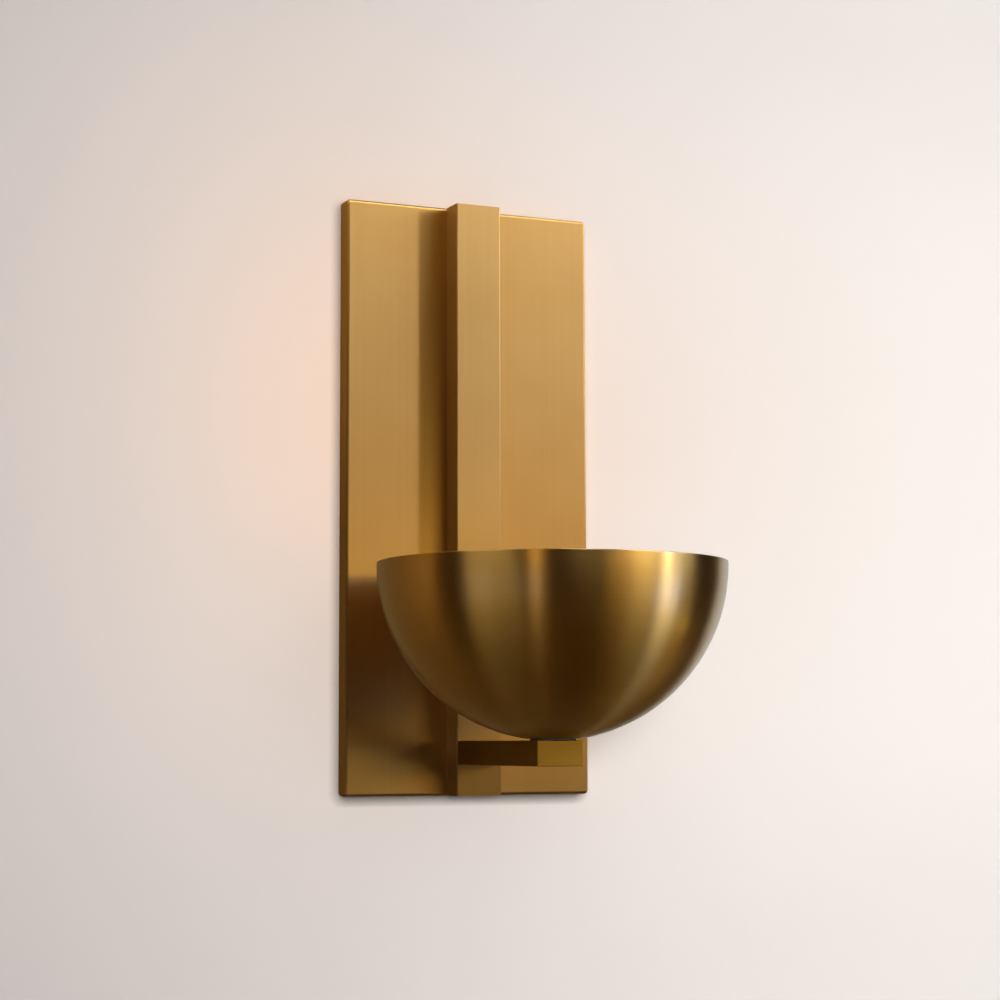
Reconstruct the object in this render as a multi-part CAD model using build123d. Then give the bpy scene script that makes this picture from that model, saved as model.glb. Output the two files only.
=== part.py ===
from build123d import *

import math
import os

# Bowl wall sconce in millimetres: the wall is the plane y = 0, the front faces -Y and +Z is up.
# The origin is the middle of the wall bracket, on the wall.

# Plate: a shallow sheet pan, open towards the wall
plate_width = 136.0
plate_height = 305.0
plate_depth = 9.5
plate_sheet = 1.5
plate_edge_radius = 1.2
plate_corner_radius = 1.5

# Wall bracket: a steel strap with an end tab at the top and at the bottom
bracket_width = 40.0
bracket_sheet = 2.0
bracket_bend_radius = 2.5
tab_width = 24.0
tab_front_gap = 0.8
supply_hole_diameter = 28.0
box_screw_spacing = 88.9
box_slot_width = 4.6
box_slot_length = 14.0

# Set screws in the plate's edges, which bear on the bracket's tabs
set_screw_diameter = 4.0
set_screw_tip = 0.5
set_nut_width = 8.0
set_nut_depth = 5.5
set_nut_height = 3.0

# Spine: a rectangular tube with solid ends
spine_width = 25.0
spine_depth = 12.5
spine_wall = 1.5
spine_plug_length = 17.0
spine_screw_inset = 12.0
spine_screw_length = 10.0
spine_screw_spacing = 12.0
wiring_window_height = 50.0

# Arm: a rectangular tube with a solid block in each end
arm_length = 95.0
arm_width = 24.0
arm_height = 12.2
arm_wall = 1.5
arm_rise = 15.6
arm_overhang = 8.0
arm_root_length = 14.0
arm_end_length = 20.0
arm_screw_length = 12.0
tool_window_width = 20.0
tool_window_height = 9.0
wire_drop = 1.0

# Bowl: part of a sphere with a flat seat, its rim a little above the sphere's middle
bowl_radius = 84.0
bowl_wall = 1.2
bowl_rim_rise = 0.8
bowl_rim_round = 0.45
bowl_seat_diameter = 26.0

# Threaded nipple and what it clamps
nipple_diameter = 10.0
nipple_bore = 7.0
nipple_grip = 5.3
nipple_sump = 0.4
nipple_proud = 1.0
nipple_nut_flats = 14.0
bowl_nut_height = 4.0
holder_nut_height = 3.0
seat_washer_diameter = 22.0
seat_washer_height = 0.8
bowl_washer_diameter = 24.0
bowl_washer_height = 1.5

# Bridge that carries the lamp holder
bridge_sheet = 1.2
bridge_width = 14.0
bridge_length = 22.0
bridge_height = 18.0
bridge_flange = 5.5

# Ceramic lamp holder with push-in contacts
holder_diameter = 24.0
holder_height = 15.0
holder_floor = 4.0
holder_screw_spacing = 17.0
holder_screw_diameter = 3.0
holder_screw_sink = 6.0
holder_screw_proud = 1.0
pin_pitch = 9.0
pocket_length = 3.6
pocket_width = 2.4
contact_sheet = 0.35
contact_base = 0.6
contact_width = 3.0
contact_height = 9.0

# Lamp
pin_thickness = 0.8
pin_width = 2.6
pin_wire = 0.8
pin_reach = 6.0
pin_root = 2.0
lamp_base_length = 15.0
lamp_base_width = 10.0
lamp_base_corner = 4.0
lamp_base_height = 8.0
lamp_collar_diameter = 15.6
lamp_collar_height = 4.0
envelope_diameter = 14.0
envelope_wall = 1.0
envelope_height = 29.0
core_width = 5.0
core_thickness = 1.2
core_height = 21.0

# Leads and their bushes
lead_diameter = 1.6
lead_gap = 0.3
lead_room = 0.25
lead_bend = 4.2
lead_fan_radius = 9.0
lead_rise_radius = 100.0
lead_tail = 2.5
lead_fan_start = 25.0
lead_fan_end = 20.0
lead_entry = 6.0
bush_wall = 0.6
bush_flange = 1.2
bush_lip = 0.5
bush_reach = 6.0
nipple_bush_reach = 4.0

# Terminal block in the spine's hollow
terminal_height = 14.0
terminal_side_gap = 1.0
terminal_insert = 4.0
terminal_insert_inset = 0.5
terminal_wire_bore = 2.2
terminal_screw_diameter = 2.5
terminal_screw_spacing = 7.0
terminal_screw_sink = 0.7
terminal_stud_diameter = 3.0
terminal_nut_flats = 5.5
terminal_nut_height = 2.4
stud_proud = 0.8

# Machine screws, earth fasteners and their heads
screw_diameter = 4.0
screw_head_diameter = 7.0
screw_head_height = 2.6
small_head_diameter = 5.5
small_head_height = 2.0
earth_washer_diameter = 9.0
earth_washer_height = 1.0
earth_nut_flats = 7.0
earth_nut_height = 3.2
earth_stud_gap = 1.5
earth_height = 30.0
ground_tip_gap = 0.1

# Clearances: brazed joints, threads and insert seats, and free holes
braze_gap = 0.05
thread_gap = 0.05
hole_gap = 0.2
contact_gap = 0.08

# Planes that the pieces share, from the wall forwards
plate_inner_y = -(plate_depth - plate_sheet)
plate_front_y = -plate_depth
spine_inner_y = plate_front_y - spine_depth + spine_wall
spine_front_y = plate_front_y - spine_depth
arm_front_y = spine_front_y - arm_length
bowl_axis_y = arm_front_y + arm_overhang
set_screw_y = -plate_depth / 2
terminal_y = (spine_inner_y + plate_front_y) / 2

# Heights that the pieces share, from the plate's lower edge upwards
plate_top = plate_height / 2
plate_bottom = -plate_height / 2
arm_bottom = plate_bottom + arm_rise
arm_top = arm_bottom + arm_height
arm_middle = (arm_bottom + arm_top) / 2
wire_axis = arm_middle - wire_drop
bowl_bottom = arm_top + seat_washer_height
bowl_floor = bowl_bottom + bowl_wall
bowl_seat_drop = math.sqrt(bowl_radius ** 2 - (bowl_seat_diameter / 2) ** 2)
bowl_centre = bowl_bottom + bowl_seat_drop
bowl_nut_bottom = bowl_floor + bowl_washer_height
bridge_bottom = bowl_nut_bottom + bowl_nut_height
holder_nut_bottom = bridge_bottom + bridge_sheet
nipple_top = holder_nut_bottom + holder_nut_height + nipple_proud
nipple_bottom = arm_top - nipple_grip
holder_bottom = bridge_bottom + bridge_height
holder_top = holder_bottom + holder_height
contact_floor = holder_bottom + holder_floor
collar_bottom = holder_top + lamp_base_height
envelope_bottom = collar_bottom + lamp_collar_height
terminal_bottom = -terminal_height / 2

# Sizes that follow from the fits
plate_inner_half = plate_width / 2 - plate_sheet
spine_hollow = spine_width - 2 * spine_wall
arm_hollow_width = arm_width - 2 * arm_wall
arm_hollow_height = arm_height - 2 * arm_wall
tab_outer_half = plate_top - plate_sheet - set_nut_height - set_screw_tip
arm_screw_x = min(spine_hollow, arm_hollow_width) / 2 - screw_head_diameter / 2 - hole_gap
lead_offset = (lead_diameter + lead_gap) / 2
bush_bore = 2 * (lead_offset + lead_diameter / 2 + lead_room)
bush_diameter = bush_bore + 2 * bush_wall
wire_bore = bush_diameter + 4 * thread_gap
terminal_width = spine_hollow - 2 * terminal_side_gap
pole_offset = terminal_width / 4
terminal_channel = terminal_insert + 2 * hole_gap
tapped_hole = screw_diameter + 2 * thread_gap
free_hole = screw_diameter + 2 * hole_gap
nipple_hole = nipple_diameter + 2 * hole_gap
nipple_thread = nipple_diameter + 2 * thread_gap
box_slot_end = (box_screw_spacing - box_slot_length) / 2
ground_height = (supply_hole_diameter / 2 + box_slot_end) / 2
earth_x = (bracket_width / 2 + plate_inner_half) / 2
both_sides = (-1, 1)

os.makedirs("parts", exist_ok=True)


def block(x_limits, y_limits, z_limits):
    """Box between three pairs of limits."""
    sizes = [abs(high - low) for low, high in (x_limits, y_limits, z_limits)]
    middles = [(low + high) / 2 for low, high in (x_limits, y_limits, z_limits)]
    return Pos(*middles) * Box(*sizes)


def rod_z(diameter, x, y, z_limits):
    """Round bar along Z."""
    low, high = z_limits
    return Pos(x, y, (low + high) / 2) * Cylinder(diameter / 2, high - low)


def rod_y(diameter, x, z, y_limits):
    """Round bar along Y."""
    low, high = y_limits
    return Pos(x, (low + high) / 2, z) * Rot(90, 0, 0) * Cylinder(diameter / 2, high - low)


def ring(inner_diameter, outer_diameter, height):
    """Flat ring on the Z axis, standing on z = 0."""
    return extrude(Circle(outer_diameter / 2) - Circle(inner_diameter / 2), height)


def hex_nut(bore, flats, height):
    """Six-sided nut on the Z axis, standing on z = 0."""
    outline = RegularPolygon(flats / 2, 6, major_radius=False)
    return extrude(outline - Circle(bore / 2), height)


def slotted_screw(diameter, length, head_diameter, head_height):
    """Screw along +Z, with the head's seat at z = 0 and a driver slot across the head."""
    shank = rod_z(diameter, 0, 0, (0, length))
    head = rod_z(head_diameter, 0, 0, (-head_height, 0))
    slot_depth = head_height / 2
    slot = Pos(0, 0, -head_height) * Box(head_diameter, diameter / 4, 2 * slot_depth)
    return shank + head - slot


def grub_screw(diameter, length):
    """Headless screw along +Z from z = 0, with its driver slot at z = 0."""
    slot = Box(diameter, diameter / 4, diameter / 2)
    return rod_z(diameter, 0, 0, (0, length)) - slot


def forward(x, y, z):
    """Placement that turns +Z towards the front of the sconce."""
    return Pos(x, y, z) * Rot(90, 0, 0)


def backward(x, y, z):
    """Placement that turns +Z towards the wall."""
    return Pos(x, y, z) * Rot(-90, 0, 0)


def spine_screw_places():
    """Places (x, z) of the screws that hold the spine on the plate."""
    heights = (plate_top - spine_screw_inset, plate_bottom + spine_screw_inset)
    return [(side * spine_screw_spacing / 2, z) for z in heights for side in both_sides]


def wiring_cuts(y_limits):
    """Windows and screw holes shared by the plate's face and the spine's back wall."""
    half_window = wiring_window_height / 2
    tool_half = tool_window_height / 2
    cuts = block((-spine_hollow / 2, spine_hollow / 2), y_limits, (-half_window, half_window))
    cuts += block(
        (-tool_window_width / 2, tool_window_width / 2),
        y_limits,
        (arm_middle - tool_half, arm_middle + tool_half),
    )
    for x, z in spine_screw_places():
        cuts += rod_y(free_hole, x, z, y_limits)
    return cuts


# Wall bracket and its earth screw
def make_wall_bracket():
    """Strap on the wall, with its two tabs bent towards the front."""
    tab_front = plate_inner_y + tab_front_gap
    bracket = block((-bracket_width / 2, bracket_width / 2), (-bracket_sheet, 0), (-tab_outer_half, tab_outer_half))
    for side in both_sides:
        tab_z = sorted((side * tab_outer_half, side * (tab_outer_half - bracket_sheet)))
        bracket += block((-tab_width / 2, tab_width / 2), (tab_front, 0), tab_z)
    back_edges = bracket.edges().filter_by(Axis.X).group_by(Axis.Y)[-1]
    bracket = fillet(back_edges, bracket_bend_radius)
    past_both = (-2 * bracket_sheet, bracket_sheet)
    bracket -= rod_y(supply_hole_diameter, 0, 0, past_both)
    bracket -= rod_y(tapped_hole, 0, ground_height, past_both)
    slot = extrude(SlotOverall(box_slot_length, box_slot_width, rotation=90), bracket_sheet, both=True)
    for side in both_sides:
        bracket -= backward(0, 0, side * box_screw_spacing / 2) * slot
    return bracket


def make_ground_screw():
    """Earth screw of the bracket, short enough to end before the wall."""
    length = bracket_sheet + earth_washer_height - ground_tip_gap
    screw = slotted_screw(screw_diameter, length, screw_head_diameter, screw_head_height)
    return backward(0, -bracket_sheet - earth_washer_height, ground_height) * screw


def make_ground_washer():
    """Washer under the earth screw."""
    washer = ring(free_hole, earth_washer_diameter, earth_washer_height)
    return forward(0, -bracket_sheet, ground_height) * washer


# Plate with its set screws and earth point
def make_backplate():
    """Pan with rounded front edges, open at the back."""
    pan = block((-plate_width / 2, plate_width / 2), (plate_front_y, 0), (plate_bottom, plate_top))
    pan = fillet(pan.edges().filter_by(Axis.Y), plate_corner_radius)
    pan = fillet(pan.faces().sort_by(Axis.Y)[0].edges(), plate_edge_radius)
    pan -= block(
        (-plate_inner_half, plate_inner_half),
        (plate_inner_y, plate_depth),
        (plate_bottom + plate_sheet, plate_top - plate_sheet),
    )
    pan -= wiring_cuts((plate_front_y - plate_sheet, plate_inner_y + plate_sheet))
    for side in both_sides:
        edge = sorted((side * (plate_top - 2 * plate_sheet), side * (plate_top + plate_sheet)))
        pan -= rod_z(set_screw_diameter + 2 * hole_gap, 0, set_screw_y, edge)
    return pan


def make_set_screw_nuts():
    """Tapped blocks brazed inside the pan's top and bottom edges."""
    nuts = []
    for side in both_sides:
        outer = side * (plate_top - plate_sheet)
        limits = sorted((outer, outer - side * set_nut_height))
        nut = block(
            (-set_nut_width / 2, set_nut_width / 2),
            (set_screw_y - set_nut_depth / 2, set_screw_y + set_nut_depth / 2),
            limits,
        )
        nuts.append(nut - rod_z(set_screw_diameter + 2 * thread_gap, 0, set_screw_y, limits))
    return Compound(children=nuts)


def make_set_screws():
    """Headless screws through the pan's edges, with their tips on the bracket's tabs."""
    length = plate_top - hole_gap - tab_outer_half
    screw = grub_screw(set_screw_diameter, length)
    top = Pos(0, set_screw_y, plate_top - hole_gap) * Rot(180, 0, 0) * screw
    bottom = Pos(0, set_screw_y, plate_bottom + hole_gap) * screw
    return Compound(children=[top, bottom])


def make_earth_stud():
    """Stud welded inside the plate."""
    return rod_y(screw_diameter, earth_x, earth_height, (plate_inner_y, -earth_stud_gap))


def make_earth_washer():
    """Washer on the earth stud."""
    washer = ring(free_hole, earth_washer_diameter, earth_washer_height)
    return backward(earth_x, plate_inner_y, earth_height) * washer


def make_earth_nut():
    """Nut on the earth stud."""
    nut = hex_nut(tapped_hole, earth_nut_flats, earth_nut_height)
    return backward(earth_x, plate_inner_y + earth_washer_height, earth_height) * nut


# Spine
def make_spine():
    """Upright tube on the plate, with its windows and holes."""
    half = spine_width / 2
    tube = block((-half, half), (spine_front_y, plate_front_y), (plate_bottom, plate_top))
    tube -= block(
        (-spine_hollow / 2, spine_hollow / 2),
        (spine_inner_y, plate_front_y - spine_wall),
        (plate_bottom, plate_top),
    )
    tube -= wiring_cuts((plate_front_y - spine_wall, plate_front_y))
    front_wall = (spine_front_y, spine_inner_y)
    tube -= rod_y(wire_bore, 0, wire_axis, front_wall)
    for side in both_sides:
        tube -= rod_y(free_hole, side * arm_screw_x, arm_middle, front_wall)
    return tube


def make_spine_plug(side):
    """Solid end of the spine, tapped from behind: the top one for side 1, the bottom one for side -1."""
    half = spine_hollow / 2 - braze_gap
    y_limits = (spine_inner_y + braze_gap, plate_front_y - spine_wall - braze_gap)
    z_limits = sorted((side * plate_top, side * (plate_top - spine_plug_length)))
    plug = block((-half, half), y_limits, z_limits)
    for x, z in spine_screw_places():
        if z * side > 0:
            plug -= rod_y(tapped_hole, x, z, y_limits)
    return plug


def make_spine_screws():
    """Screws from inside the pan into the spine's ends."""
    screw = slotted_screw(screw_diameter, spine_screw_length, screw_head_diameter, screw_head_height)
    return Compound(children=[forward(x, plate_inner_y, z) * screw for x, z in spine_screw_places()])


# Arm
def make_arm():
    """Level tube with a hole for the nipple in its top wall."""
    half = arm_width / 2
    tube = block((-half, half), (arm_front_y, spine_front_y), (arm_bottom, arm_top))
    tube -= block(
        (-arm_hollow_width / 2, arm_hollow_width / 2),
        (arm_front_y, spine_front_y),
        (arm_bottom + arm_wall, arm_top - arm_wall),
    )
    return tube - rod_z(nipple_hole, 0, bowl_axis_y, (arm_top - arm_wall, arm_top))


def arm_filler(y_limits):
    """Solid that fills the arm's hollow between two limits, with the bore for the leads."""
    half_width = arm_hollow_width / 2 - braze_gap
    half_height = arm_hollow_height / 2 - braze_gap
    return block((-half_width, half_width), y_limits, (arm_middle - half_height, arm_middle + half_height))


def make_arm_root_block():
    """Block in the arm's rear end, tapped for the arm's screws."""
    y_limits = (spine_front_y - arm_root_length, spine_front_y)
    root = arm_filler(y_limits) - rod_y(wire_bore, 0, wire_axis, y_limits)
    for side in both_sides:
        root -= rod_y(tapped_hole, side * arm_screw_x, arm_middle, y_limits)
    return root


def make_arm_end_block():
    """Block that closes the arm's front end and takes the nipple's thread."""
    rear_y = arm_front_y + arm_end_length
    end = arm_filler((arm_front_y, rear_y))
    end -= rod_y(wire_bore, 0, wire_axis, (bowl_axis_y, rear_y))
    sump = wire_axis - wire_bore / 2 - nipple_sump
    return end - rod_z(nipple_thread, 0, bowl_axis_y, (sump, arm_top))


def make_arm_screws():
    """Screws from inside the spine into the arm's root block."""
    screw = slotted_screw(screw_diameter, arm_screw_length, screw_head_diameter, screw_head_height)
    places = [forward(side * arm_screw_x, spine_inner_y, arm_middle) for side in both_sides]
    return Compound(children=[place * screw for place in places])


def make_wire_bush():
    """Insulating bush through the spine's front wall into the arm."""
    flange_diameter = 2 * (arm_screw_x - screw_head_diameter / 2 - hole_gap)
    flange = ring(bush_bore, max(flange_diameter, bush_diameter + 2 * bush_lip), bush_flange)
    sleeve = ring(bush_bore, bush_diameter, spine_wall + bush_reach)
    return backward(0, spine_inner_y, wire_axis) * flange + forward(0, spine_inner_y, wire_axis) * sleeve


# Bowl and its clamp
def make_bowl():
    """Thin bowl turned about Z, with a hole for the nipple in its flat seat."""
    inner_radius = bowl_radius - bowl_wall
    hole = nipple_hole / 2
    floor = -bowl_seat_drop + bowl_wall
    seat = (bowl_seat_diameter / 2, 0, -bowl_seat_drop)
    floor_edge = (math.sqrt(inner_radius ** 2 - floor ** 2), 0, floor)
    rim_outer = (math.sqrt(bowl_radius ** 2 - bowl_rim_rise ** 2), 0, bowl_rim_rise)
    rim_inner = (math.sqrt(inner_radius ** 2 - bowl_rim_rise ** 2), 0, bowl_rim_rise)
    middle = math.radians(45)
    outer_middle = (bowl_radius * math.cos(middle), 0, -bowl_radius * math.sin(middle))
    inner_middle = (inner_radius * math.cos(middle), 0, -inner_radius * math.sin(middle))
    outline = [
        Line((hole, 0, -bowl_seat_drop), seat),
        ThreePointArc(seat, outer_middle, rim_outer),
        Line(rim_outer, rim_inner),
        ThreePointArc(rim_inner, inner_middle, floor_edge),
        Line(floor_edge, (hole, 0, floor)),
        Line((hole, 0, floor), (hole, 0, -bowl_seat_drop)),
    ]
    bowl = revolve(make_face(outline), Axis.Z)
    bowl = fillet(bowl.edges().group_by(Axis.Z)[-1], bowl_rim_round)
    return Pos(0, bowl_axis_y, bowl_centre) * bowl


def make_nipple():
    """Hollow threaded tube from the arm's end block up to the lamp holder's bridge."""
    outer = rod_z(nipple_diameter, 0, bowl_axis_y, (nipple_bottom, nipple_top))
    return outer - rod_z(nipple_bore, 0, bowl_axis_y, (nipple_bottom, nipple_top))


def make_seat_washer():
    """Thin spacer between the arm and the bowl."""
    return Pos(0, bowl_axis_y, arm_top) * ring(nipple_hole, seat_washer_diameter, seat_washer_height)


def make_bowl_washer():
    """Washer inside the bowl."""
    return Pos(0, bowl_axis_y, bowl_floor) * ring(nipple_hole, bowl_washer_diameter, bowl_washer_height)


def make_bowl_nut():
    """Nut that clamps the bowl on the arm."""
    return Pos(0, bowl_axis_y, bowl_nut_bottom) * hex_nut(nipple_thread, nipple_nut_flats, bowl_nut_height)


# Lamp holder
def make_holder_bridge():
    """Bent strip over the nipple, with two flanges turned inwards under the holder."""
    half_length = bridge_length / 2
    strip_x = (-bridge_width / 2, bridge_width / 2)
    bridge = block(strip_x, (-half_length, half_length), (0, bridge_sheet))
    for side in both_sides:
        leg = sorted((side * half_length, side * (half_length - bridge_sheet)))
        flange = sorted((side * half_length, side * (half_length - bridge_flange)))
        bridge += block(strip_x, leg, (0, bridge_height))
        bridge += block(strip_x, flange, (bridge_height - bridge_sheet, bridge_height))
        tapped = holder_screw_diameter + 2 * thread_gap
        bridge -= rod_z(tapped, 0, side * holder_screw_spacing / 2, (bridge_sheet, bridge_height))
    bridge -= rod_z(nipple_hole, 0, 0, (0, bridge_sheet))
    return Pos(0, bowl_axis_y, bridge_bottom) * bridge


def make_holder_nut():
    """Nut that clamps the bridge on the bowl's nut."""
    return Pos(0, bowl_axis_y, holder_nut_bottom) * hex_nut(nipple_thread, nipple_nut_flats, holder_nut_height)


def make_nipple_bush():
    """Insulating bush in the nipple's upper end."""
    flange = ring(bush_bore, nipple_diameter, bush_flange)
    sleeve = ring(bush_bore, nipple_bore - 2 * thread_gap, nipple_bush_reach)
    return Pos(0, bowl_axis_y, nipple_top) * (flange + Pos(0, 0, -nipple_bush_reach) * sleeve)


def make_lamp_holder():
    """Ceramic holder with a pocket for each contact and sunk screw holes."""
    body = rod_z(holder_diameter, 0, 0, (0, holder_height))
    for side in both_sides:
        x = side * pin_pitch / 2
        pocket = Box(pocket_width, pocket_length, holder_height - holder_floor)
        body -= Pos(x, 0, (holder_height + holder_floor) / 2) * pocket
        body -= rod_z(lead_diameter + 2 * hole_gap, x, 0, (0, holder_floor))
        y = side * holder_screw_spacing / 2
        body -= rod_z(holder_screw_diameter + 2 * hole_gap, 0, y, (0, holder_height))
        sunk = (holder_height - holder_screw_sink, holder_height)
        body -= rod_z(small_head_diameter + 2 * hole_gap, 0, y, sunk)
    return Pos(0, bowl_axis_y, holder_bottom) * body


def make_holder_contacts():
    """Pair of sprung clips, each two leaves on a base, with the pin's room between the leaves."""
    leaf_inner = pin_thickness / 2 + contact_gap
    leaf_outer = leaf_inner + contact_sheet
    leaf_y = (-contact_width / 2, contact_width / 2)
    clip = block((-leaf_outer, leaf_outer), leaf_y, (0, contact_base))
    for side in both_sides:
        clip += block(sorted((side * leaf_inner, side * leaf_outer)), leaf_y, (0, contact_height))
    places = [Pos(side * pin_pitch / 2, bowl_axis_y, contact_floor) for side in both_sides]
    return Compound(children=[place * clip for place in places])


def make_holder_screws():
    """Screws that hold the ceramic on the bridge's flanges."""
    seat = holder_top - holder_screw_sink
    length = seat - holder_bottom + bridge_sheet + holder_screw_proud
    screw = slotted_screw(holder_screw_diameter, length, small_head_diameter, small_head_height)
    ys = [bowl_axis_y + side * holder_screw_spacing / 2 for side in both_sides]
    return Compound(children=[Pos(0, y, seat) * Rot(180, 0, 0) * screw for y in ys])


# Lamp
def make_lamp_base():
    """Lamp base with a round collar under the glass and a slot for each pin."""
    foot = extrude(RectangleRounded(lamp_base_length, lamp_base_width, lamp_base_corner), lamp_base_height)
    base = foot + rod_z(lamp_collar_diameter, 0, 0, (lamp_base_height, lamp_base_height + lamp_collar_height))
    slot = Box(pin_thickness + 2 * thread_gap, pin_width + 2 * thread_gap, 2 * pin_root)
    for side in both_sides:
        base -= Pos(side * pin_pitch / 2, 0, 0) * slot
    return Pos(0, bowl_axis_y, holder_top) * base


def make_lamp_pins():
    """Pair of flat wire loops."""
    length = pin_reach + pin_root
    loop = SlotOverall(length, pin_width) - SlotOverall(length - 2 * pin_wire, pin_width - 2 * pin_wire)
    pin = Rot(0, 90, 0) * extrude(loop, pin_thickness / 2, both=True)
    height = holder_top + (pin_root - pin_reach) / 2
    places = [Pos(side * pin_pitch / 2, bowl_axis_y, height) for side in both_sides]
    return Compound(children=[place * pin for place in places])


def capsule(diameter, height):
    """Round bar on z = 0 with a domed upper end."""
    straight = height - diameter / 2
    return rod_z(diameter, 0, 0, (0, straight)) + Pos(0, 0, straight) * Sphere(diameter / 2)


def make_lamp_envelope():
    """Domed glass over the light source, open at the collar."""
    glass = capsule(envelope_diameter, envelope_height)
    glass -= rod_z(envelope_diameter, 0, 0, (-envelope_diameter, 0))
    glass -= capsule(envelope_diameter - 2 * envelope_wall, envelope_height - envelope_wall)
    return Pos(0, bowl_axis_y, envelope_bottom) * glass


def make_lamp_core():
    """Strip of light sources, upright on the collar."""
    core = block((-core_width / 2, core_width / 2), (-core_thickness / 2, core_thickness / 2), (0, core_height))
    return Pos(0, bowl_axis_y, envelope_bottom) * core


# Wiring
def make_lead(side):
    """Insulated lead from a holder contact down the nipple, along the arm and up the spine to its terminal."""
    pin_x = side * pin_pitch / 2
    lead_x = side * lead_offset
    pole_x = side * pole_offset
    bush_top = nipple_top + bush_flange
    route = [
        (pin_x, bowl_axis_y, contact_floor),
        (pin_x, bowl_axis_y, holder_bottom - lead_tail),
        (lead_x, bowl_axis_y, bush_top + lead_tail),
        (lead_x, bowl_axis_y, wire_axis),
        (lead_x, terminal_y, wire_axis),
        (lead_x, terminal_y, wire_axis + lead_fan_start),
        (pole_x, terminal_y, terminal_bottom - lead_fan_end),
        (pole_x, terminal_y, terminal_bottom + lead_entry),
    ]
    radii = [lead_fan_radius] * 2 + [lead_bend] * 2 + [lead_rise_radius] * 2
    path = FilletPolyline(*route, radius=radii)
    section = Plane(path @ 0, z_dir=path % 0) * Circle(lead_diameter / 2)
    lead = sweep(section, path)
    print("lead volume over section times length", lead.volume / (section.area * path.length))
    return lead


def make_terminal_block():
    """Plastic connector body, with a channel for each insert and for its screws."""
    half = terminal_width / 2
    z_limits = (terminal_bottom, -terminal_bottom)
    body = block((-half, half), (spine_inner_y, plate_front_y), z_limits)
    body -= rod_y(terminal_stud_diameter + 2 * hole_gap, 0, 0, (spine_inner_y, plate_front_y))
    for side in both_sides:
        x = side * pole_offset
        body -= Pos(x, terminal_y, 0) * Box(terminal_channel, terminal_channel, terminal_height)
        for end in both_sides:
            z = end * terminal_screw_spacing / 2
            body -= rod_y(terminal_screw_diameter + 4 * hole_gap, x, z, (terminal_y, plate_front_y))
    return body


def make_terminal_inserts():
    """Square brass tubes that join a lead to a supply wire."""
    height = terminal_height - 2 * terminal_insert_inset
    insert = Box(terminal_insert, terminal_insert, height)
    insert -= rod_z(terminal_wire_bore, 0, 0, (-height / 2, height / 2))
    for end in both_sides:
        tapped = terminal_screw_diameter + 2 * thread_gap
        insert -= rod_y(tapped, 0, end * terminal_screw_spacing / 2, (0, terminal_insert))
    places = [Pos(side * pole_offset, terminal_y, 0) for side in both_sides]
    return Compound(children=[place * insert for place in places])


def make_terminal_screws():
    """Headless screws that press on the wires in the inserts."""
    rear_y = plate_front_y - terminal_screw_sink
    length = rear_y - terminal_y - lead_diameter / 2 - thread_gap
    screw = grub_screw(terminal_screw_diameter, length)
    places = [
        forward(side * pole_offset, rear_y, end * terminal_screw_spacing / 2)
        for side in both_sides
        for end in both_sides
    ]
    return Compound(children=[place * screw for place in places])


def make_terminal_stud():
    """Stud welded inside the spine, through the terminal block."""
    return rod_y(terminal_stud_diameter, 0, 0, (spine_inner_y, plate_front_y + terminal_nut_height + stud_proud))


def make_terminal_nut():
    """Nut that holds the terminal block on its stud."""
    nut = hex_nut(terminal_stud_diameter + 2 * thread_gap, terminal_nut_flats, terminal_nut_height)
    return backward(0, plate_front_y, 0) * nut


nodes = {
    "wall_bracket": make_wall_bracket(),
    "ground_screw": make_ground_screw(),
    "ground_washer": make_ground_washer(),
    "backplate": make_backplate(),
    "set_screw_nuts": make_set_screw_nuts(),
    "set_screws": make_set_screws(),
    "earth_stud": make_earth_stud(),
    "earth_washer": make_earth_washer(),
    "earth_nut": make_earth_nut(),
    "spine": make_spine(),
    "spine_top_plug": make_spine_plug(1),
    "spine_bottom_plug": make_spine_plug(-1),
    "spine_screws": make_spine_screws(),
    "arm": make_arm(),
    "arm_root_block": make_arm_root_block(),
    "arm_end_block": make_arm_end_block(),
    "arm_screws": make_arm_screws(),
    "wire_bush": make_wire_bush(),
    "bowl": make_bowl(),
    "nipple": make_nipple(),
    "seat_washer": make_seat_washer(),
    "bowl_washer": make_bowl_washer(),
    "bowl_nut": make_bowl_nut(),
    "holder_bridge": make_holder_bridge(),
    "holder_nut": make_holder_nut(),
    "nipple_bush": make_nipple_bush(),
    "lamp_holder": make_lamp_holder(),
    "holder_contacts": make_holder_contacts(),
    "holder_screws": make_holder_screws(),
    "lamp_base": make_lamp_base(),
    "lamp_pins": make_lamp_pins(),
    "lamp_envelope": make_lamp_envelope(),
    "lamp_core": make_lamp_core(),
    "live_lead": make_lead(-1),
    "neutral_lead": make_lead(1),
    "terminal_block": make_terminal_block(),
    "terminal_inserts": make_terminal_inserts(),
    "terminal_screws": make_terminal_screws(),
    "terminal_stud": make_terminal_stud(),
    "terminal_nut": make_terminal_nut(),
}

for name, shape in nodes.items():
    export_step(shape, f"parts/{name}.step")
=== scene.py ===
"""Brass bowl wall sconce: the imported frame, dressed and lit for a studio picture on a pale wall.

Every length is in metres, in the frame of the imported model: the wall is the plane y = 0, the front of the
sconce faces -Y and +Z is up.
"""

from __future__ import annotations

import logging
import math
from contextlib import contextmanager
from dataclasses import dataclass
from enum import Enum
from typing import Any, Callable, Iterator, Sequence, Union

import bmesh
import bpy
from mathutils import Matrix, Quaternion, Vector

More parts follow.
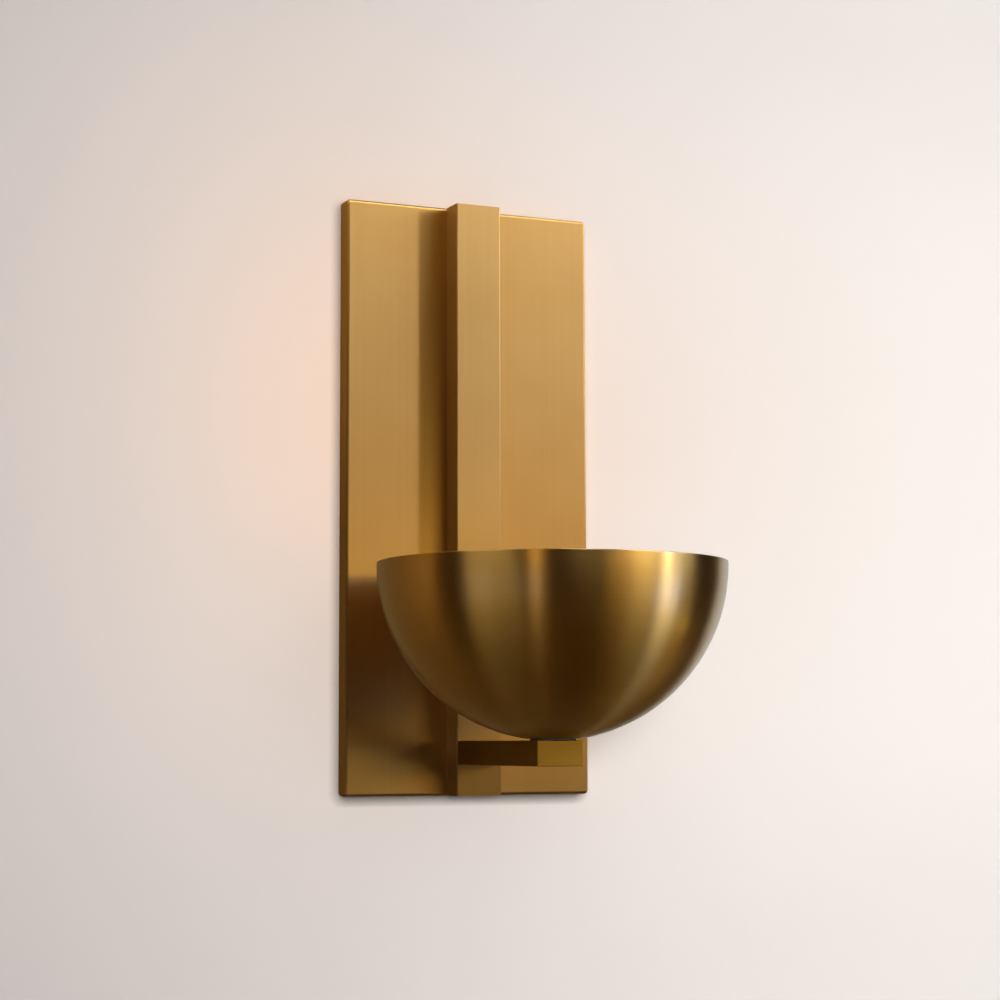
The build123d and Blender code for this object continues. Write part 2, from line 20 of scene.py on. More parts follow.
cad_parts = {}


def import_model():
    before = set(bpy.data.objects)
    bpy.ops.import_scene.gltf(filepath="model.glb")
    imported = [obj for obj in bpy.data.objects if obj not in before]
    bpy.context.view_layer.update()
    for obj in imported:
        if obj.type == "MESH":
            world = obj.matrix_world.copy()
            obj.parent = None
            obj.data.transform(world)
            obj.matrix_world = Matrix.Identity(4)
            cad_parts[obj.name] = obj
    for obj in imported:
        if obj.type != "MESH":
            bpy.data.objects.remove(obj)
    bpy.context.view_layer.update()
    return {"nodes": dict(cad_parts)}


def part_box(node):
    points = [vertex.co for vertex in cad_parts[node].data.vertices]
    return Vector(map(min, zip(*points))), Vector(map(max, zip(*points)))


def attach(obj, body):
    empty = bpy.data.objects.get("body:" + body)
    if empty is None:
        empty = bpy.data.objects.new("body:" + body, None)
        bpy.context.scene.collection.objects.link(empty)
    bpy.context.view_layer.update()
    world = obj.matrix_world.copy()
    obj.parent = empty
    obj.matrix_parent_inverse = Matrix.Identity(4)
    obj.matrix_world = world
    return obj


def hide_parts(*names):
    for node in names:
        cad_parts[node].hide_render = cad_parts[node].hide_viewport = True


LOG = logging.getLogger("sconce")
MM = 0.001
# How near a point lies to the place that a test picks it for, and how near points lie that become one.
NEAR = 0.005 * MM
MERGED = 0.002 * MM
# Cosines past which a direction counts as along an axis, and under which it counts as across it.
ALONG = 0.9
ACROSS = 0.1
# Sides of a small hole and of a wider bore.
HOLE_SIDES = 32
BORE_SIDES = 48
# Angles in degrees: faces within the first are one flat face, edges past the second get a small round, and
# edges of a cut piece past the third stay sharp.
FLAT_ANGLE = 0.4
ROUND_ANGLE = 32.0
CUT_CREASE = 30.0

Colour = tuple[float, float, float]
Number = Union["Value", float, int]
Socket = bpy.types.NodeSocket
Test = Callable[[Vector, Vector], bool]

WARM_GLOW: Colour = (1.0, 0.46, 0.13)


class Lay(Enum):
    """Way in which the abrasive went over the metal."""

    UPRIGHT = (1.0, 1.0, 0.008)
    FORWARD = (1.0, 0.008, 1.0)


class Axis(Enum):
    """Direction of a round cutter or rod."""

    Y = (math.pi / 2, 0.0, 0.0)
    Z = (0.0, 0.0, 0.0)


class Body(Enum):
    """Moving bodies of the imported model."""

    WALL = "wall"
    FIXTURE = "fixture"
    LAMP = "lamp"


class Reach(Enum):
    """Surfaces that a panel of light works on."""

    ALL = "all"
    METAL = "metal"
    MATT = "matt"


class Value:
    """Number socket of a node tree; arithmetic on it adds Math nodes."""

    def __init__(self, graph: Graph, socket: Socket) -> None:
        """Keeps the socket and the tree it belongs to."""
        self.graph = graph
        self.socket = socket

    def _math(self, operation: str, *operands: Number) -> Value:
        """Adds one Math node.

        Args:
            operation: Blender's name of the operation.
            operands: the node's inputs, in order.

        Returns:
            The node's result.
        """
        made = self.graph.node("ShaderNodeMath", {"operation": operation}, dict(enumerate(operands)))
        return Value(self.graph, made.outputs[0])

    def __add__(self, other: Number) -> Value:
        """Sum."""
        return self._math("ADD", self, other)

    __radd__ = __add__

    def __sub__(self, other: Number) -> Value:
        """Difference."""
        return self._math("SUBTRACT", self, other)

    def __rsub__(self, other: Number) -> Value:
        """Difference from a number."""
        return self._math("SUBTRACT", other, self)

    def __neg__(self) -> Value:
        """The value with its sign turned."""
        return 0.0 - self

    def __mul__(self, other: Number) -> Value:
        """Product."""
        return self._math("MULTIPLY", self, other)

    __rmul__ = __mul__

    def __truediv__(self, other: Number) -> Value:
        """Quotient."""
        return self._math("DIVIDE", self, other)

    def __rtruediv__(self, other: Number) -> Value:
        """Quotient of a number."""
        return self._math("DIVIDE", other, self)

    def __pow__(self, other: Number) -> Value:
        """Power."""
        return self._math("POWER", self, other)

    def squared(self) -> Value:
        """The value times itself."""
        return self * self

    def angle_to(self, other: Number) -> Value:
        """Angle whose tangent is this value over the other one."""
        return self._math("ARCTAN2", self, other)

    def largest(self, other: Number) -> Value:
        """The larger of the two."""
        return self._math("MAXIMUM", self, other)

    def ramp(self, low: float, high: float) -> Value:
        """Smooth step from 0 at low to 1 at high."""
        made = self.graph.node(
            "ShaderNodeMapRange",
            {"interpolation_type": "SMOOTHSTEP"},
            {0: self, 1: low, 2: high, 3: 0.0, 4: 1.0},
        )
        return Value(self.graph, made.outputs[0])


class Graph:
    """Node tree of one material or of the world."""

    def __init__(self, tree: bpy.types.NodeTree) -> None:
        """Empties the tree."""
        self.tree = tree
        self.tree.nodes.clear()

    def node(
        self, kind: str, settings: dict[str, Any] | None = None, inputs: dict[int | str, Any] | None = None
    ) -> bpy.types.Node:
        """Adds a node.

        Args:
            kind: the node's type.
            settings: properties of the node, set first.
            inputs: values or links of its sockets, by name or number.

        Returns:
            The new node.
        """
        made = self.tree.nodes.new(kind)
        for key, value in (settings or {}).items():
            setattr(made, key, value)
        for key, value in (inputs or {}).items():
            link = value.socket if isinstance(value, Value) else value
            if isinstance(link, Socket):
                self.tree.links.new(link, made.inputs[key])
            else:
                made.inputs[key].default_value = link
        return made

    def place(self, centre: Sequence[float] = (0, 0, 0), scale: Sequence[float] = (1, 1, 1)) -> Socket:
        """Object coordinates about a centre, stretched.

        Args:
            centre: point of the piece that becomes the origin.
            scale: stretch of each axis, after the move.

        Returns:
            The vector socket.
        """
        coordinates = self.node("ShaderNodeTexCoord").outputs["Object"]
        location = [-part * stretch for part, stretch in zip(centre, scale)]
        mapped = self.node(
            "ShaderNodeMapping", None, {"Vector": coordinates, "Location": location, "Scale": tuple(scale)}
        )
        return mapped.outputs[0]

    def parts(self, vector: Socket) -> tuple[Value, Value, Value]:
        """The three numbers of a vector."""
        split = self.node("ShaderNodeSeparateXYZ", None, {0: vector})
        return tuple(Value(self, socket) for socket in split.outputs)

    def joined(self, x: Number, y: Number, z: Number) -> Socket:
        """A vector of three numbers."""
        return self.node("ShaderNodeCombineXYZ", None, {0: x, 1: y, 2: z}).outputs[0]

    def ray(self, kind: str) -> Value:
        """1 for the rays that an output of Light Path names, 0 for others."""
        return Value(self, self.node("ShaderNodeLightPath").outputs[kind])

    def noise(self, vector: Socket, scale: float, detail: float = 2.0, rough: float = 0.5) -> Value:
        """Fractal noise about zero.

        Args:
            vector: where it is read.
            scale: number of cells in a unit of the vector.
            detail: number of finer layers.
            rough: strength of the finer layers.

        Returns:
            The noise's value, from about -0.5 to 0.5.
        """
        inputs = {"Vector": vector, "Scale": scale, "Detail": detail, "Roughness": rough}
        return Value(self, self.node("ShaderNodeTexNoise", None, inputs).outputs[0]) - 0.5

    def cells(self, vector: Socket, scale: float) -> Value:
        """A random level about zero for each cell of a crystal pattern."""
        made = self.node("ShaderNodeTexVoronoi", None, {"Vector": vector, "Scale": scale})
        return self.parts(made.outputs["Color"])[0] - 0.5

    def blend(self, low: Any, high: Any, share: Number) -> Socket:
        """Colour between two colours.

        Args:
            low: colour or socket at share 0.
            high: colour or socket at share 1.
            share: the part of the second.

        Returns:
            The mixed colour.
        """
        ends = [(*end, 1.0) if isinstance(end, tuple) else end for end in (low, high)]
        made = self.node("ShaderNodeMix", {"data_type": "RGBA"}, {0: share, 6: ends[0], 7: ends[1]})
        return made.outputs[2]

    def bump(self, height: Value, strength: float, depth: float = 0.02 * MM) -> Socket:
        """Normal of a fine relief."""
        inputs = {"Height": height, "Strength": strength, "Distance": depth}
        return self.node("ShaderNodeBump", None, inputs).outputs[0]

    def surface(self, **inputs: Any) -> None:
        """Makes a Principled shader the surface; its sockets have an underscore for a space."""
        named = {key.replace("_", " "): value for key, value in inputs.items()}
        self.output(self.node("ShaderNodeBsdfPrincipled", None, named).outputs[0])

    def output(self, socket: Socket, kind: str = "ShaderNodeOutputMaterial") -> None:
        """Links the finished shader to the tree's output."""
        self.node(kind, None, {"Surface": socket})


@dataclass(frozen=True)
class Finish:
    """Surface of one material slot."""

    slot: str

    def material(self) -> bpy.types.Material:
        """The slot's material, made once."""
        name = f"{self.slot}_finish"
        found = bpy.data.materials.get(name)
        if found:
            return found
        made = bpy.data.materials.new(name)
        made.use_nodes = True
        self.paint(Graph(made.node_tree))
        return made

    def paint(self, graph: Graph) -> None:
        """Adds the nodes of the finish."""
        raise NotImplementedError


@dataclass(frozen=True)
class BrushedBrass(Finish):
    """Satin brass with a straight brush lay, lightly aged."""

    tone: Colour = (0.70, 0.40, 0.108)
    shade: Colour = (0.56, 0.295, 0.066)
    roughness: float = 0.40
    lay: Lay = Lay.UPRIGHT
    anisotropy: float = 0.92
    turn: float = 0.0
    grain: float = 1.0
    foot: float = 0.0
    foot_tone: Colour = (0.34, 0.175, 0.034)
    foot_depths: tuple[float, float] = (126.0 * MM, 140.0 * MM)

    def paint(self, graph: Graph) -> None:
        """Adds fine brush lines, longer streaks, slow patches of age and a darker lower end."""
        hair = graph.noise(graph.place(scale=self.lay.value), 2600.0)
        streak = graph.noise(graph.place(scale=self.lay.value), 420.0, 3.0, 0.6)
        age = graph.noise(graph.place(), 14.0, 3.0, 0.55)
        lines = streak * (0.36 * self.grain) + hair * (0.20 * self.grain)
        colour = graph.blend(self.shade, self.tone, 0.5 + age * 0.9 + lines)
        if self.foot:
            _, _, height = graph.parts(graph.place())
            colour = graph.blend(colour, self.foot_tone, (-height).ramp(*self.foot_depths) * self.foot)
        graph.surface(
            Base_Color=colour,
            Metallic=1.0,
            Roughness=self.roughness + lines * 0.16 - age * 0.05,
            Anisotropic=self.anisotropy,
            Anisotropic_Rotation=self.turn,
            Coat_Weight=0.15,
            Coat_Roughness=0.30,
            Normal=graph.bump(hair * 0.7 + streak * 0.3, 0.06 * self.grain),
        )


@dataclass(frozen=True)
class SpunBrass(Finish):
    """Satin brass turned on a lathe, with fine rings about an upright axis, lightly aged."""

    centre: tuple[float, float, float] = (0.0, 0.0, 0.0)
    tone: Colour = (0.66, 0.38, 0.094)
    shade: Colour = (0.52, 0.275, 0.054)
    roughness: float = 0.33
    anisotropy: float = 0.96

    def paint(self, graph: Graph) -> None:
        """Adds rings along the meridian and slow patches of age."""
        x, y, z = graph.parts(graph.place(self.centre))
        climb = z.angle_to((x * x + y * y) ** 0.5)
        ring = graph.noise(graph.joined(x * 3.0, y * 3.0, climb * 260.0), 1.0, 3.0, 0.65)
        hair = graph.noise(graph.joined(x * 8.0, y * 8.0, climb * 900.0), 1.0, 1.0)
        age = graph.noise(graph.joined(x * 6.0, y * 6.0, climb), 2.6, 3.0, 0.55)
        graph.surface(
            Base_Color=graph.blend(self.shade, self.tone, 0.5 + age * 0.8 + ring * 0.5 + hair * 0.25),
            Metallic=1.0,
            Roughness=self.roughness + ring * 0.05 + hair * 0.04 - age * 0.04,
            Anisotropic=self.anisotropy,
            Anisotropic_Rotation=0.25,
            Coat_Weight=0.8,
            Coat_Roughness=0.24,
            Normal=graph.bump(ring * 0.6 + hair * 0.4, 0.08),
        )


@dataclass(frozen=True)
class MachinedMetal(Finish):
    """Bare metal with tool marks, for blocks, inserts and wire."""

    tone: Colour = (0.76, 0.54, 0.24)
    shade: Colour = (0.58, 0.38, 0.14)
    roughness: float = 0.32

    def paint(self, graph: Graph) -> None:
        """Adds crossing tool marks and stains."""
        marks = graph.noise(graph.place(scale=(1.0, 0.02, 1.0)), 3400.0)
        stain = graph.noise(graph.place(), 220.0, 3.0, 0.6)
        graph.surface(
            Base_Color=graph.blend(self.shade, self.tone, 0.5 + stain * 0.9 + marks * 0.4),
            Metallic=1.0,
            Roughness=self.roughness + marks * 0.14 - stain * 0.12,
            Normal=graph.bump(marks, 0.15),
        )


@dataclass(frozen=True)
class ZincSteel(Finish):
    """Steel under a thin zinc coat with a faint crystal pattern."""

    tone: Colour = (0.66, 0.67, 0.68)
    shade: Colour = (0.46, 0.47, 0.49)
    roughness: float = 0.38
    crystal: float = 260.0

    def paint(self, graph: Graph) -> None:
        """Adds crystals, rolling lines and dull spots."""
        crystals = graph.cells(graph.place(), self.crystal)
        lines = graph.noise(graph.place(scale=(1.0, 1.0, 0.02)), 1500.0)
        dull = graph.noise(graph.place(), 45.0, 3.0, 0.6)
        share = 0.5 + crystals * 0.35 + lines * 0.35 + dull * 0.6
        graph.surface(
            Base_Color=graph.blend(self.shade, self.tone, share),
            Metallic=1.0,
            Roughness=self.roughness + crystals * 0.10 - dull * 0.14 + lines * 0.06,
            Normal=graph.bump(lines, 0.12),
        )


@dataclass(frozen=True)
class Enamel(Finish):
    """Coloured coat on a screw, rubbed at its high spots."""

    tone: Colour = (0.035, 0.24, 0.06)
    bare: Colour = (0.45, 0.46, 0.42)

    def paint(self, graph: Graph) -> None:
        """Adds worn flecks and a slightly uneven coat."""
        fleck = graph.noise(graph.place(), 1300.0, 3.0, 0.6).ramp(0.12, 0.22)
        coat = graph.noise(graph.place(), 500.0)
        graph.surface(
            Base_Color=graph.blend(self.tone, self.bare, fleck * 0.6),
            Metallic=0.35 + fleck * 0.5,
            Roughness=0.3 + coat * 0.2,
            Normal=graph.bump(coat, 0.15, 0.03 * MM),
        )


@dataclass(frozen=True)
class Ceramic(Finish):
    """Pale fired clay."""

    tone: Colour = (0.80, 0.76, 0.68)
    shade: Colour = (0.66, 0.61, 0.53)
    fleck: Colour = (0.36, 0.31, 0.25)
    roughness: float = 0.6

    def paint(self, graph: Graph) -> None:
        """Adds grain, dark specks and a soft unevenness."""
        grain = graph.noise(graph.place(), 2400.0, 3.0, 0.6)
        cloud = graph.noise(graph.place(), 160.0)
        speck = graph.noise(graph.place(), 1500.0, 1.0).ramp(0.20, 0.26)
        body = graph.blend(self.shade, self.tone, 0.6 + cloud * 0.8 + grain * 0.4)
        graph.surface(
            Base_Color=graph.blend(body, self.fleck, speck * 0.5),
            Roughness=self.roughness + grain * 0.14,
            Normal=graph.bump(grain, 0.12, 0.03 * MM),
        )


@dataclass(frozen=True)
class MouldedPlastic(Finish):
    """Moulded or drawn plastic with a fine skin."""

    tone: Colour = (0.78, 0.77, 0.72)
    shade: Colour = (0.66, 0.64, 0.58)
    roughness: float = 0.42
    depth: float = 0.0

    def paint(self, graph: Graph) -> None:
        """Adds flow marks and a fine skin."""
        skin = graph.noise(graph.place(), 3200.0)
        flow = graph.noise(graph.place(scale=(1.0, 1.0, 0.25)), 240.0)
        graph.surface(
            Base_Color=graph.blend(self.shade, self.tone, 0.55 + flow),
            Roughness=self.roughness + skin * 0.12 + flow * 0.10,
            Subsurface_Weight=self.depth,
            Subsurface_Scale=0.6 * MM,
            Normal=graph.bump(skin, 0.10),
        )


@dataclass(frozen=True)
class FibreWasher(Finish):
    """Pressed black fibre."""

    def paint(self, graph: Graph) -> None:
        """Adds flat fibres in the sheet."""
        fibre = graph.noise(graph.place(scale=(1.0, 0.25, 1.0)), 2600.0, 3.0, 0.6)
        graph.surface(
            Base_Color=graph.blend((0.010, 0.009, 0.008), (0.040, 0.036, 0.032), 0.5 + fibre),
            Roughness=0.72 + fibre * 0.2,
            Normal=graph.bump(fibre, 0.3, 0.05 * MM),
        )


@dataclass(frozen=True)
class LampGlass(Finish):
    """Thin glass, clear enough to show what glows in it."""

    collar_heights: tuple[float, float] = (-72.2 * MM, -62.2 * MM)

    def paint(self, graph: Graph) -> None:
        """Adds a milky veil that grows towards the collar."""
        _, _, height = graph.parts(graph.place())
        veil = graph.noise(graph.place(), 500.0)
        milky = 1.0 - height.ramp(*self.collar_heights)
        graph.surface(
            Base_Color=graph.blend((0.92, 0.90, 0.86), (0.98, 0.95, 0.88), 0.5 + veil),
            Roughness=0.06 + milky * 0.2 + veil * 0.04,
            Alpha=0.16 + milky * 0.3 + veil * 0.06,
            Coat_Weight=0.4,
            Coat_Roughness=0.03,
            Emission_Color=(*WARM_GLOW, 1.0),
            Emission_Strength=7.0,
        )


@dataclass(frozen=True)
class Phosphor(Finish):
    """Warm glowing coat of the light sources."""

    strength: float = 4.0

    def paint(self, graph: Graph) -> None:
        """Adds a grain to the glow."""
        grain = graph.noise(graph.place(), 1800.0)
        graph.surface(
            Base_Color=graph.blend((0.86, 0.62, 0.20), (0.95, 0.76, 0.34), 0.5 + grain),
            Roughness=0.5 + grain * 0.2,
            Emission_Color=graph.blend(WARM_GLOW, (1.0, 0.55, 0.20), 0.5 + grain),
            Emission_Strength=self.strength,
        )


@dataclass(frozen=True)
class WallPaint(Finish):
    """Pale paint with a painted light gradient and a painted pool of warm light about the plate, dimmer in
    the metal's reflections, clear from behind.

    A pair of colours is for the middle height and far above or below it, or for the left and the right.
    """

    # left and right paint light onto the wall: a painted gradient, darker to the left and far above or
    # below the middle height; glow is a painted pool of warm light about the plate.
    left: tuple[Colour, Colour] = ((0.458, 0.440, 0.446), (0.425, 0.413, 0.422))
    right: tuple[Colour, Colour] = ((0.972, 0.957, 0.948), (0.870, 0.858, 0.858))
    glow: tuple[Colour, Colour] = ((0.830, 0.655, 0.545), (0.905, 0.745, 0.650))
    # The mirrored colours are a painted reflection: the wall as the metal shows it, dim, darker low down
    # and far out, lighter beside and above the plate and to its right.
    mirrored_left: tuple[Colour, Colour] = ((0.34, 0.24, 0.10), (0.155, 0.110, 0.046))
    mirrored_foot: Colour = (0.092, 0.063, 0.026)
    mirrored_top: Colour = (0.285, 0.19, 0.077)
    mirrored_right: Colour = (0.52, 0.56, 0.56)
    mirrored_far: Colour = (0.05, 0.028, 0.005)
    mirrored_corner: Colour = (0.30, 0.21, 0.09)
    lean: tuple[float, float, float] = (0.0, -0.74, 0.67)
    shadow_width: float = 6.0 * MM
    shadow_power: float = 1.3

    def paint(self, graph: Graph) -> None:
        """Adds the paint with its painted gradient and painted glow, the painted reflection that the metal
        sees, the painted thin shadow about the plate and the clear back.
        """
        x, _, z = graph.parts(graph.place())
        colour = graph.blend(self.lit(graph, x, z), self.mirrored(graph, x, z), graph.ray("Is Glossy Ray"))
        # Painted shadow: an occlusion node darkens the paint along the plate's edges, its hemisphere leaned
        # upwards so the shadow lies below and beside the plate rather than above it.
        painted_shadow_occlusion = graph.node(
            "ShaderNodeAmbientOcclusion",
            {"samples": 4},
            {"Distance": self.shadow_width, "Normal": graph.joined(*self.lean)},
        )
        open_share = Value(graph, painted_shadow_occlusion.outputs["AO"]) ** self.shadow_power
        shown = graph.blend((0.0, 0.0, 0.0), colour, open_share)
        face = graph.node("ShaderNodeBsdfDiffuse", None, {"Color": shown}).outputs[0]
        clear = graph.node("ShaderNodeBsdfTransparent").outputs[0]
        behind = graph.node("ShaderNodeNewGeometry").outputs["Backfacing"]
        graph.output(graph.node("ShaderNodeMixShader", None, {0: behind, 1: face, 2: clear}).outputs[0])

    def lit(self, graph: Graph, x: Value, z: Value) -> Socket:
        """The paint with painted light on it: a painted gradient, lighter to the right and darker far above
        and below the middle height, and a painted warm glow about the plate.

        Args:
            graph: the paint's tree.
            x: place to the right.
            z: height.

        Returns:
            The colour.
        """
        # Painted light: the gradient and the warm glow below stand in for light on the wall.
        away = (z - 0.02).squared().ramp(0.0, 0.075)
        left, right = (graph.blend(*pair, away) for pair in (self.left, self.right))
        painted_gradient = graph.blend(left, right, x.ramp(-0.42, 0.42))
        warm = graph.blend(*self.glow, x.ramp(-0.08, 0.10))
        spread = 0.009 + x.ramp(-0.08, 0.02) * 0.025
        far = (x + 0.06).squared() / spread + (z - 0.05).squared() / 0.015
        return graph.blend(painted_gradient, warm, 1.0 / (far + 1.0))

    def mirrored(self, graph: Graph, x: Value, z: Value) -> Socket:
        """The painted reflection of the wall that the metal shows, dim and uneven.

        Args:
            graph: the paint's tree.
            x: place to the right.
            z: height.

        Returns:
            The colour.
        """
        far_left, near_left = self.mirrored_left
        left = graph.blend(near_left, far_left, (-x).ramp(0.12, 0.40))
        raised = graph.blend(self.mirrored_foot, left, z.ramp(-0.24, -0.06))
        beside = graph.blend(raised, self.mirrored_top, z.ramp(-0.02, 0.06))
        near = graph.blend(beside, self.mirrored_right, x.ramp(-0.05, 0.10) * z.ramp(-0.19, -0.10))
        low_right = (-z).ramp(0.22, 0.45) * x.ramp(0.0, 0.3)
        far = graph.blend(self.mirrored_far, self.mirrored_corner, low_right)
        return graph.blend(near, far, (x + 0.05).squared().ramp(0.20, 0.29))


@dataclass(frozen=True)
class FloorPaint(Finish):
    """Plain pale floor, dimmer in the metal's reflections and lifted where the camera looks at it."""

    tone: Colour = (0.78, 0.74, 0.69)
    mirrored: Colour = (0.08, 0.05, 0.02)
    lift: Colour = (0.50, 0.46, 0.42)

    def paint(self, graph: Graph) -> None:
        """Adds the paint and its lift."""
        shown = graph.blend(self.tone, self.mirrored, graph.ray("Is Glossy Ray"))
        face = graph.node("ShaderNodeBsdfDiffuse", None, {"Color": shown})
        glow = {"Color": (*self.lift, 1.0), "Strength": graph.ray("Is Camera Ray")}
        lift = graph.node("ShaderNodeEmission", None, glow)
        both = graph.node("ShaderNodeAddShader", None, {0: face.outputs[0], 1: lift.outputs[0]})
        graph.output(both.outputs[0])


FASTENER_STEEL = ZincSteel("fastener_steel", crystal=900.0)
BLOCK_BRASS = MachinedMetal("block_brass")


class Piece:
    """One new piece, shaped with edit-mode operators and then handed to the frame."""

    def __init__(self, obj: bpy.types.Object, name: str) -> None:
        """Names the object that becomes the piece."""
        self.obj = obj
        obj.name = name
        obj.data.name = name

    @staticmethod
    def _fresh() -> None:
        """Deselects everything before a new primitive is added."""
        if bpy.context.mode != "OBJECT":
            bpy.ops.object.mode_set(mode="OBJECT")
        bpy.ops.object.select_all(action="DESELECT")

    def _alone(self) -> None:
        """Makes the piece the active object and the only selected one."""
        self._fresh()
        self.obj.select_set(True)
        bpy.context.view_layer.objects.active = self.obj

    @classmethod
    def _added(cls, name: str) -> Piece:
        """Takes the primitive just added, with its place moved into its mesh."""
        bpy.ops.object.transform_apply(location=True, rotation=True, scale=True)
        return cls(bpy.context.active_object, name)

    @classmethod
    def block(cls, name: str, low: Sequence[float], high: Sequence[float]) -> Piece:
        """Starts from a box.

        Args:
            name: the piece's name.
            low: its lowest corner.
            high: its highest corner.

        Returns:
            The piece.
        """
        cls._fresh()
        size = Vector(high) - Vector(low)
        bpy.ops.mesh.primitive_cube_add(size=1.0, location=Vector(low) + size / 2, scale=size)
        return cls._added(name)

    @classmethod
    def rod(
        cls,
        name: str,
        axis: Axis,
        radius: float,
        middle: Sequence[float],
        length: float,
        sides: int = HOLE_SIDES,
    ) -> Piece:
        """Starts from a round or many-sided bar.

        Args:
            name: the piece's name.
            axis: its direction.
            radius: radius to its corners.
            middle: its centre.
            length: its length.
            sides: number of sides.

        Returns:
            The piece.
        """
        cls._fresh()
        bpy.ops.mesh.primitive_cylinder_add(
            vertices=sides, radius=radius, depth=length, location=middle, rotation=axis.value
        )
        return cls._added(name)

    @classmethod
    def hoop(cls, name: str, radius: float, middle: Sequence[float], points: int) -> Piece:
        """Starts from an upright ring of points in the XZ plane.

        Args:
            name: the piece's name.
            radius: the ring's radius.
            middle: its centre.
            points: number of points.

        Returns:
            The piece.
        """
        cls._fresh()
        bpy.ops.mesh.primitive_circle_add(
            vertices=points, radius=radius, fill_type="NOTHING", location=middle, rotation=Axis.Y.value
        )
        return cls._added(name)

    @classmethod
    def like_node(cls, name: str, node: bpy.types.Object) -> Piece:
        """Starts from a copy of a CAD node's mesh, merged, with its flat faces made whole.

        Args:
            name: the piece's name.
            node: the CAD node's object.

        Returns:
            The piece.
        """
        cls._fresh()
        copy = bpy.data.objects.new(name, node.data.copy())
        bpy.context.scene.collection.objects.link(copy)
        copy.data.materials.clear()
        piece = cls(copy, name)
        with piece.editing():
            bpy.ops.mesh.select_all(action="SELECT")
            bpy.ops.mesh.remove_doubles(threshold=MERGED)
            bpy.ops.mesh.dissolve_limited(angle_limit=math.radians(FLAT_ANGLE))
        return piece

    @contextmanager
    def editing(self) -> Iterator[None]:
        """Edit mode on this piece alone."""
        self._alone()
        bpy.ops.object.mode_set(mode="EDIT")
        try:
            yield
        finally:
            bpy.ops.object.mode_set(mode="OBJECT")

    def pick_points(self, test: Test) -> None:
        """Selects the points whose place and normal pass the test."""
        self._pick("VERT", lambda mesh: [(p, test(p.co, p.normal)) for p in mesh.verts])

    def pick_edges(self, test: Test) -> None:
        """Selects the edges whose middle and direction pass the test."""

        def ends(edge: bmesh.types.BMEdge) -> tuple[Vector, Vector]:
            """Middle and direction of an edge."""
            first, second = (point.co for point in edge.verts)
            return (first + second) / 2, (second - first).normalized()

        self._pick("EDGE", lambda mesh: [(edge, test(*ends(edge))) for edge in mesh.edges])

    def pick_faces(self, test: Test) -> None:
        """Selects the faces whose middle and normal pass the test."""
        self._pick("FACE", lambda mesh: [(f, test(f.calc_center_median(), f.normal)) for f in mesh.faces])

    def _pick(self, mode: str, choose: Callable[[bmesh.types.BMesh], list[tuple[Any, bool]]]) -> None:
        """Selects elements of the mesh in edit mode.

        Args:
            mode: the select mode.
            choose: gives each element with whether it is selected.
        """
        bpy.ops.mesh.select_all(action="DESELECT")
        bpy.ops.mesh.select_mode(type=mode)
        mesh = bmesh.from_edit_mesh(self.obj.data)
        mesh.normal_update()
        for element, chosen in choose(mesh):
            element.select_set(chosen)
        mesh.select_flush_mode()
        bmesh.update_edit_mesh(self.obj.data)

    def drop_points(self, test: Test) -> None:
        """Deletes the points whose place and normal pass the test."""
        with self.editing():
            self.pick_points(test)
            bpy.ops.mesh.delete(type="VERT")

    def drop_faces(self, test: Test) -> None:
        """Deletes the faces whose middle and normal pass the test."""
        with self.editing():
            self.pick_faces(test)
            bpy.ops.mesh.delete(type="FACE")

    @staticmethod
    def extrude(x: float, z: float) -> None:
        """Draws the selected points of a profile out by a step, in edit mode."""
        bpy.ops.mesh.extrude_region_move(TRANSFORM_OT_translate={"value": (x, 0, z)})

    def bevel_edges(self, test: Test, width: float, segments: int = 4) -> None:
        """Rounds the edges that pass the test.

        Args:
            test: takes an edge's middle and direction.
            width: distance from the edge to the round's ends.
            segments: number of strips in the round.
        """
        with self.editing():
            self.pick_edges(test)
            bpy.ops.mesh.bevel(
                offset=width, offset_type="OFFSET", segments=segments, profile=0.5, affect="EDGES"
            )

    def modify(self, kind: str, **settings: Any) -> Piece:
        """Adds a modifier and applies it.

        Args:
            kind: the modifier's type.
            settings: its properties.

        Returns:
            The piece.
        """
        self._alone()
        modifier = self.obj.modifiers.new(kind.lower(), kind)
        for key, value in settings.items():
            setattr(modifier, key, value)
        bpy.ops.object.modifier_apply(modifier=modifier.name)
        return self

    def join_shape(self, operation: str, *tools: Piece) -> None:
        """Cuts the piece with tools, or keeps what it shares with them, and removes the tools.

        Args:
            operation: DIFFERENCE or INTERSECT.
            tools: the cutters.
        """
        for tool in tools:
            self.modify("BOOLEAN", operation=operation, object=tool.obj, solver="EXACT")
            mesh = tool.obj.data
            bpy.data.objects.remove(tool.obj)
            bpy.data.meshes.remove(mesh)

    def cut(self, *tools: Piece) -> None:
        """Takes the shapes of tools out of the piece."""
        self.join_shape("DIFFERENCE", *tools)

    def thicken(self, wall: float, **settings: bool) -> Piece:
        """Gives a skin a wall on its inner side."""
        return self.modify("SOLIDIFY", thickness=wall, offset=-1.0, use_even_offset=True, **settings)

    def repeat(self, count: int, step: Sequence[float]) -> Piece:
        """Sets copies of the shape in a row, a step apart."""
        fixed = {"use_relative_offset": False, "use_constant_offset": True}
        return self.modify("ARRAY", count=count, constant_offset_displace=step, **fixed)

    def soften(self, width: float) -> Piece:
        """Rounds every sharp edge a little."""
        limit = {"limit_method": "ANGLE", "angle_limit": math.radians(ROUND_ANGLE)}
        return self.modify("BEVEL", width=width, segments=2, use_clamp_overlap=True, **limit)

    def smooth(self, angle: float = 40.0) -> Piece:
        """Shades the piece smooth, with its broad faces kept flat.

        Args:
            angle: edges sharper than this, in degrees, stay sharp.

        Returns:
            The piece.
        """
        self._alone()
        bpy.ops.object.shade_smooth_by_angle(angle=math.radians(angle))
        return self.modify("WEIGHTED_NORMAL", weight=60, keep_sharp=True)

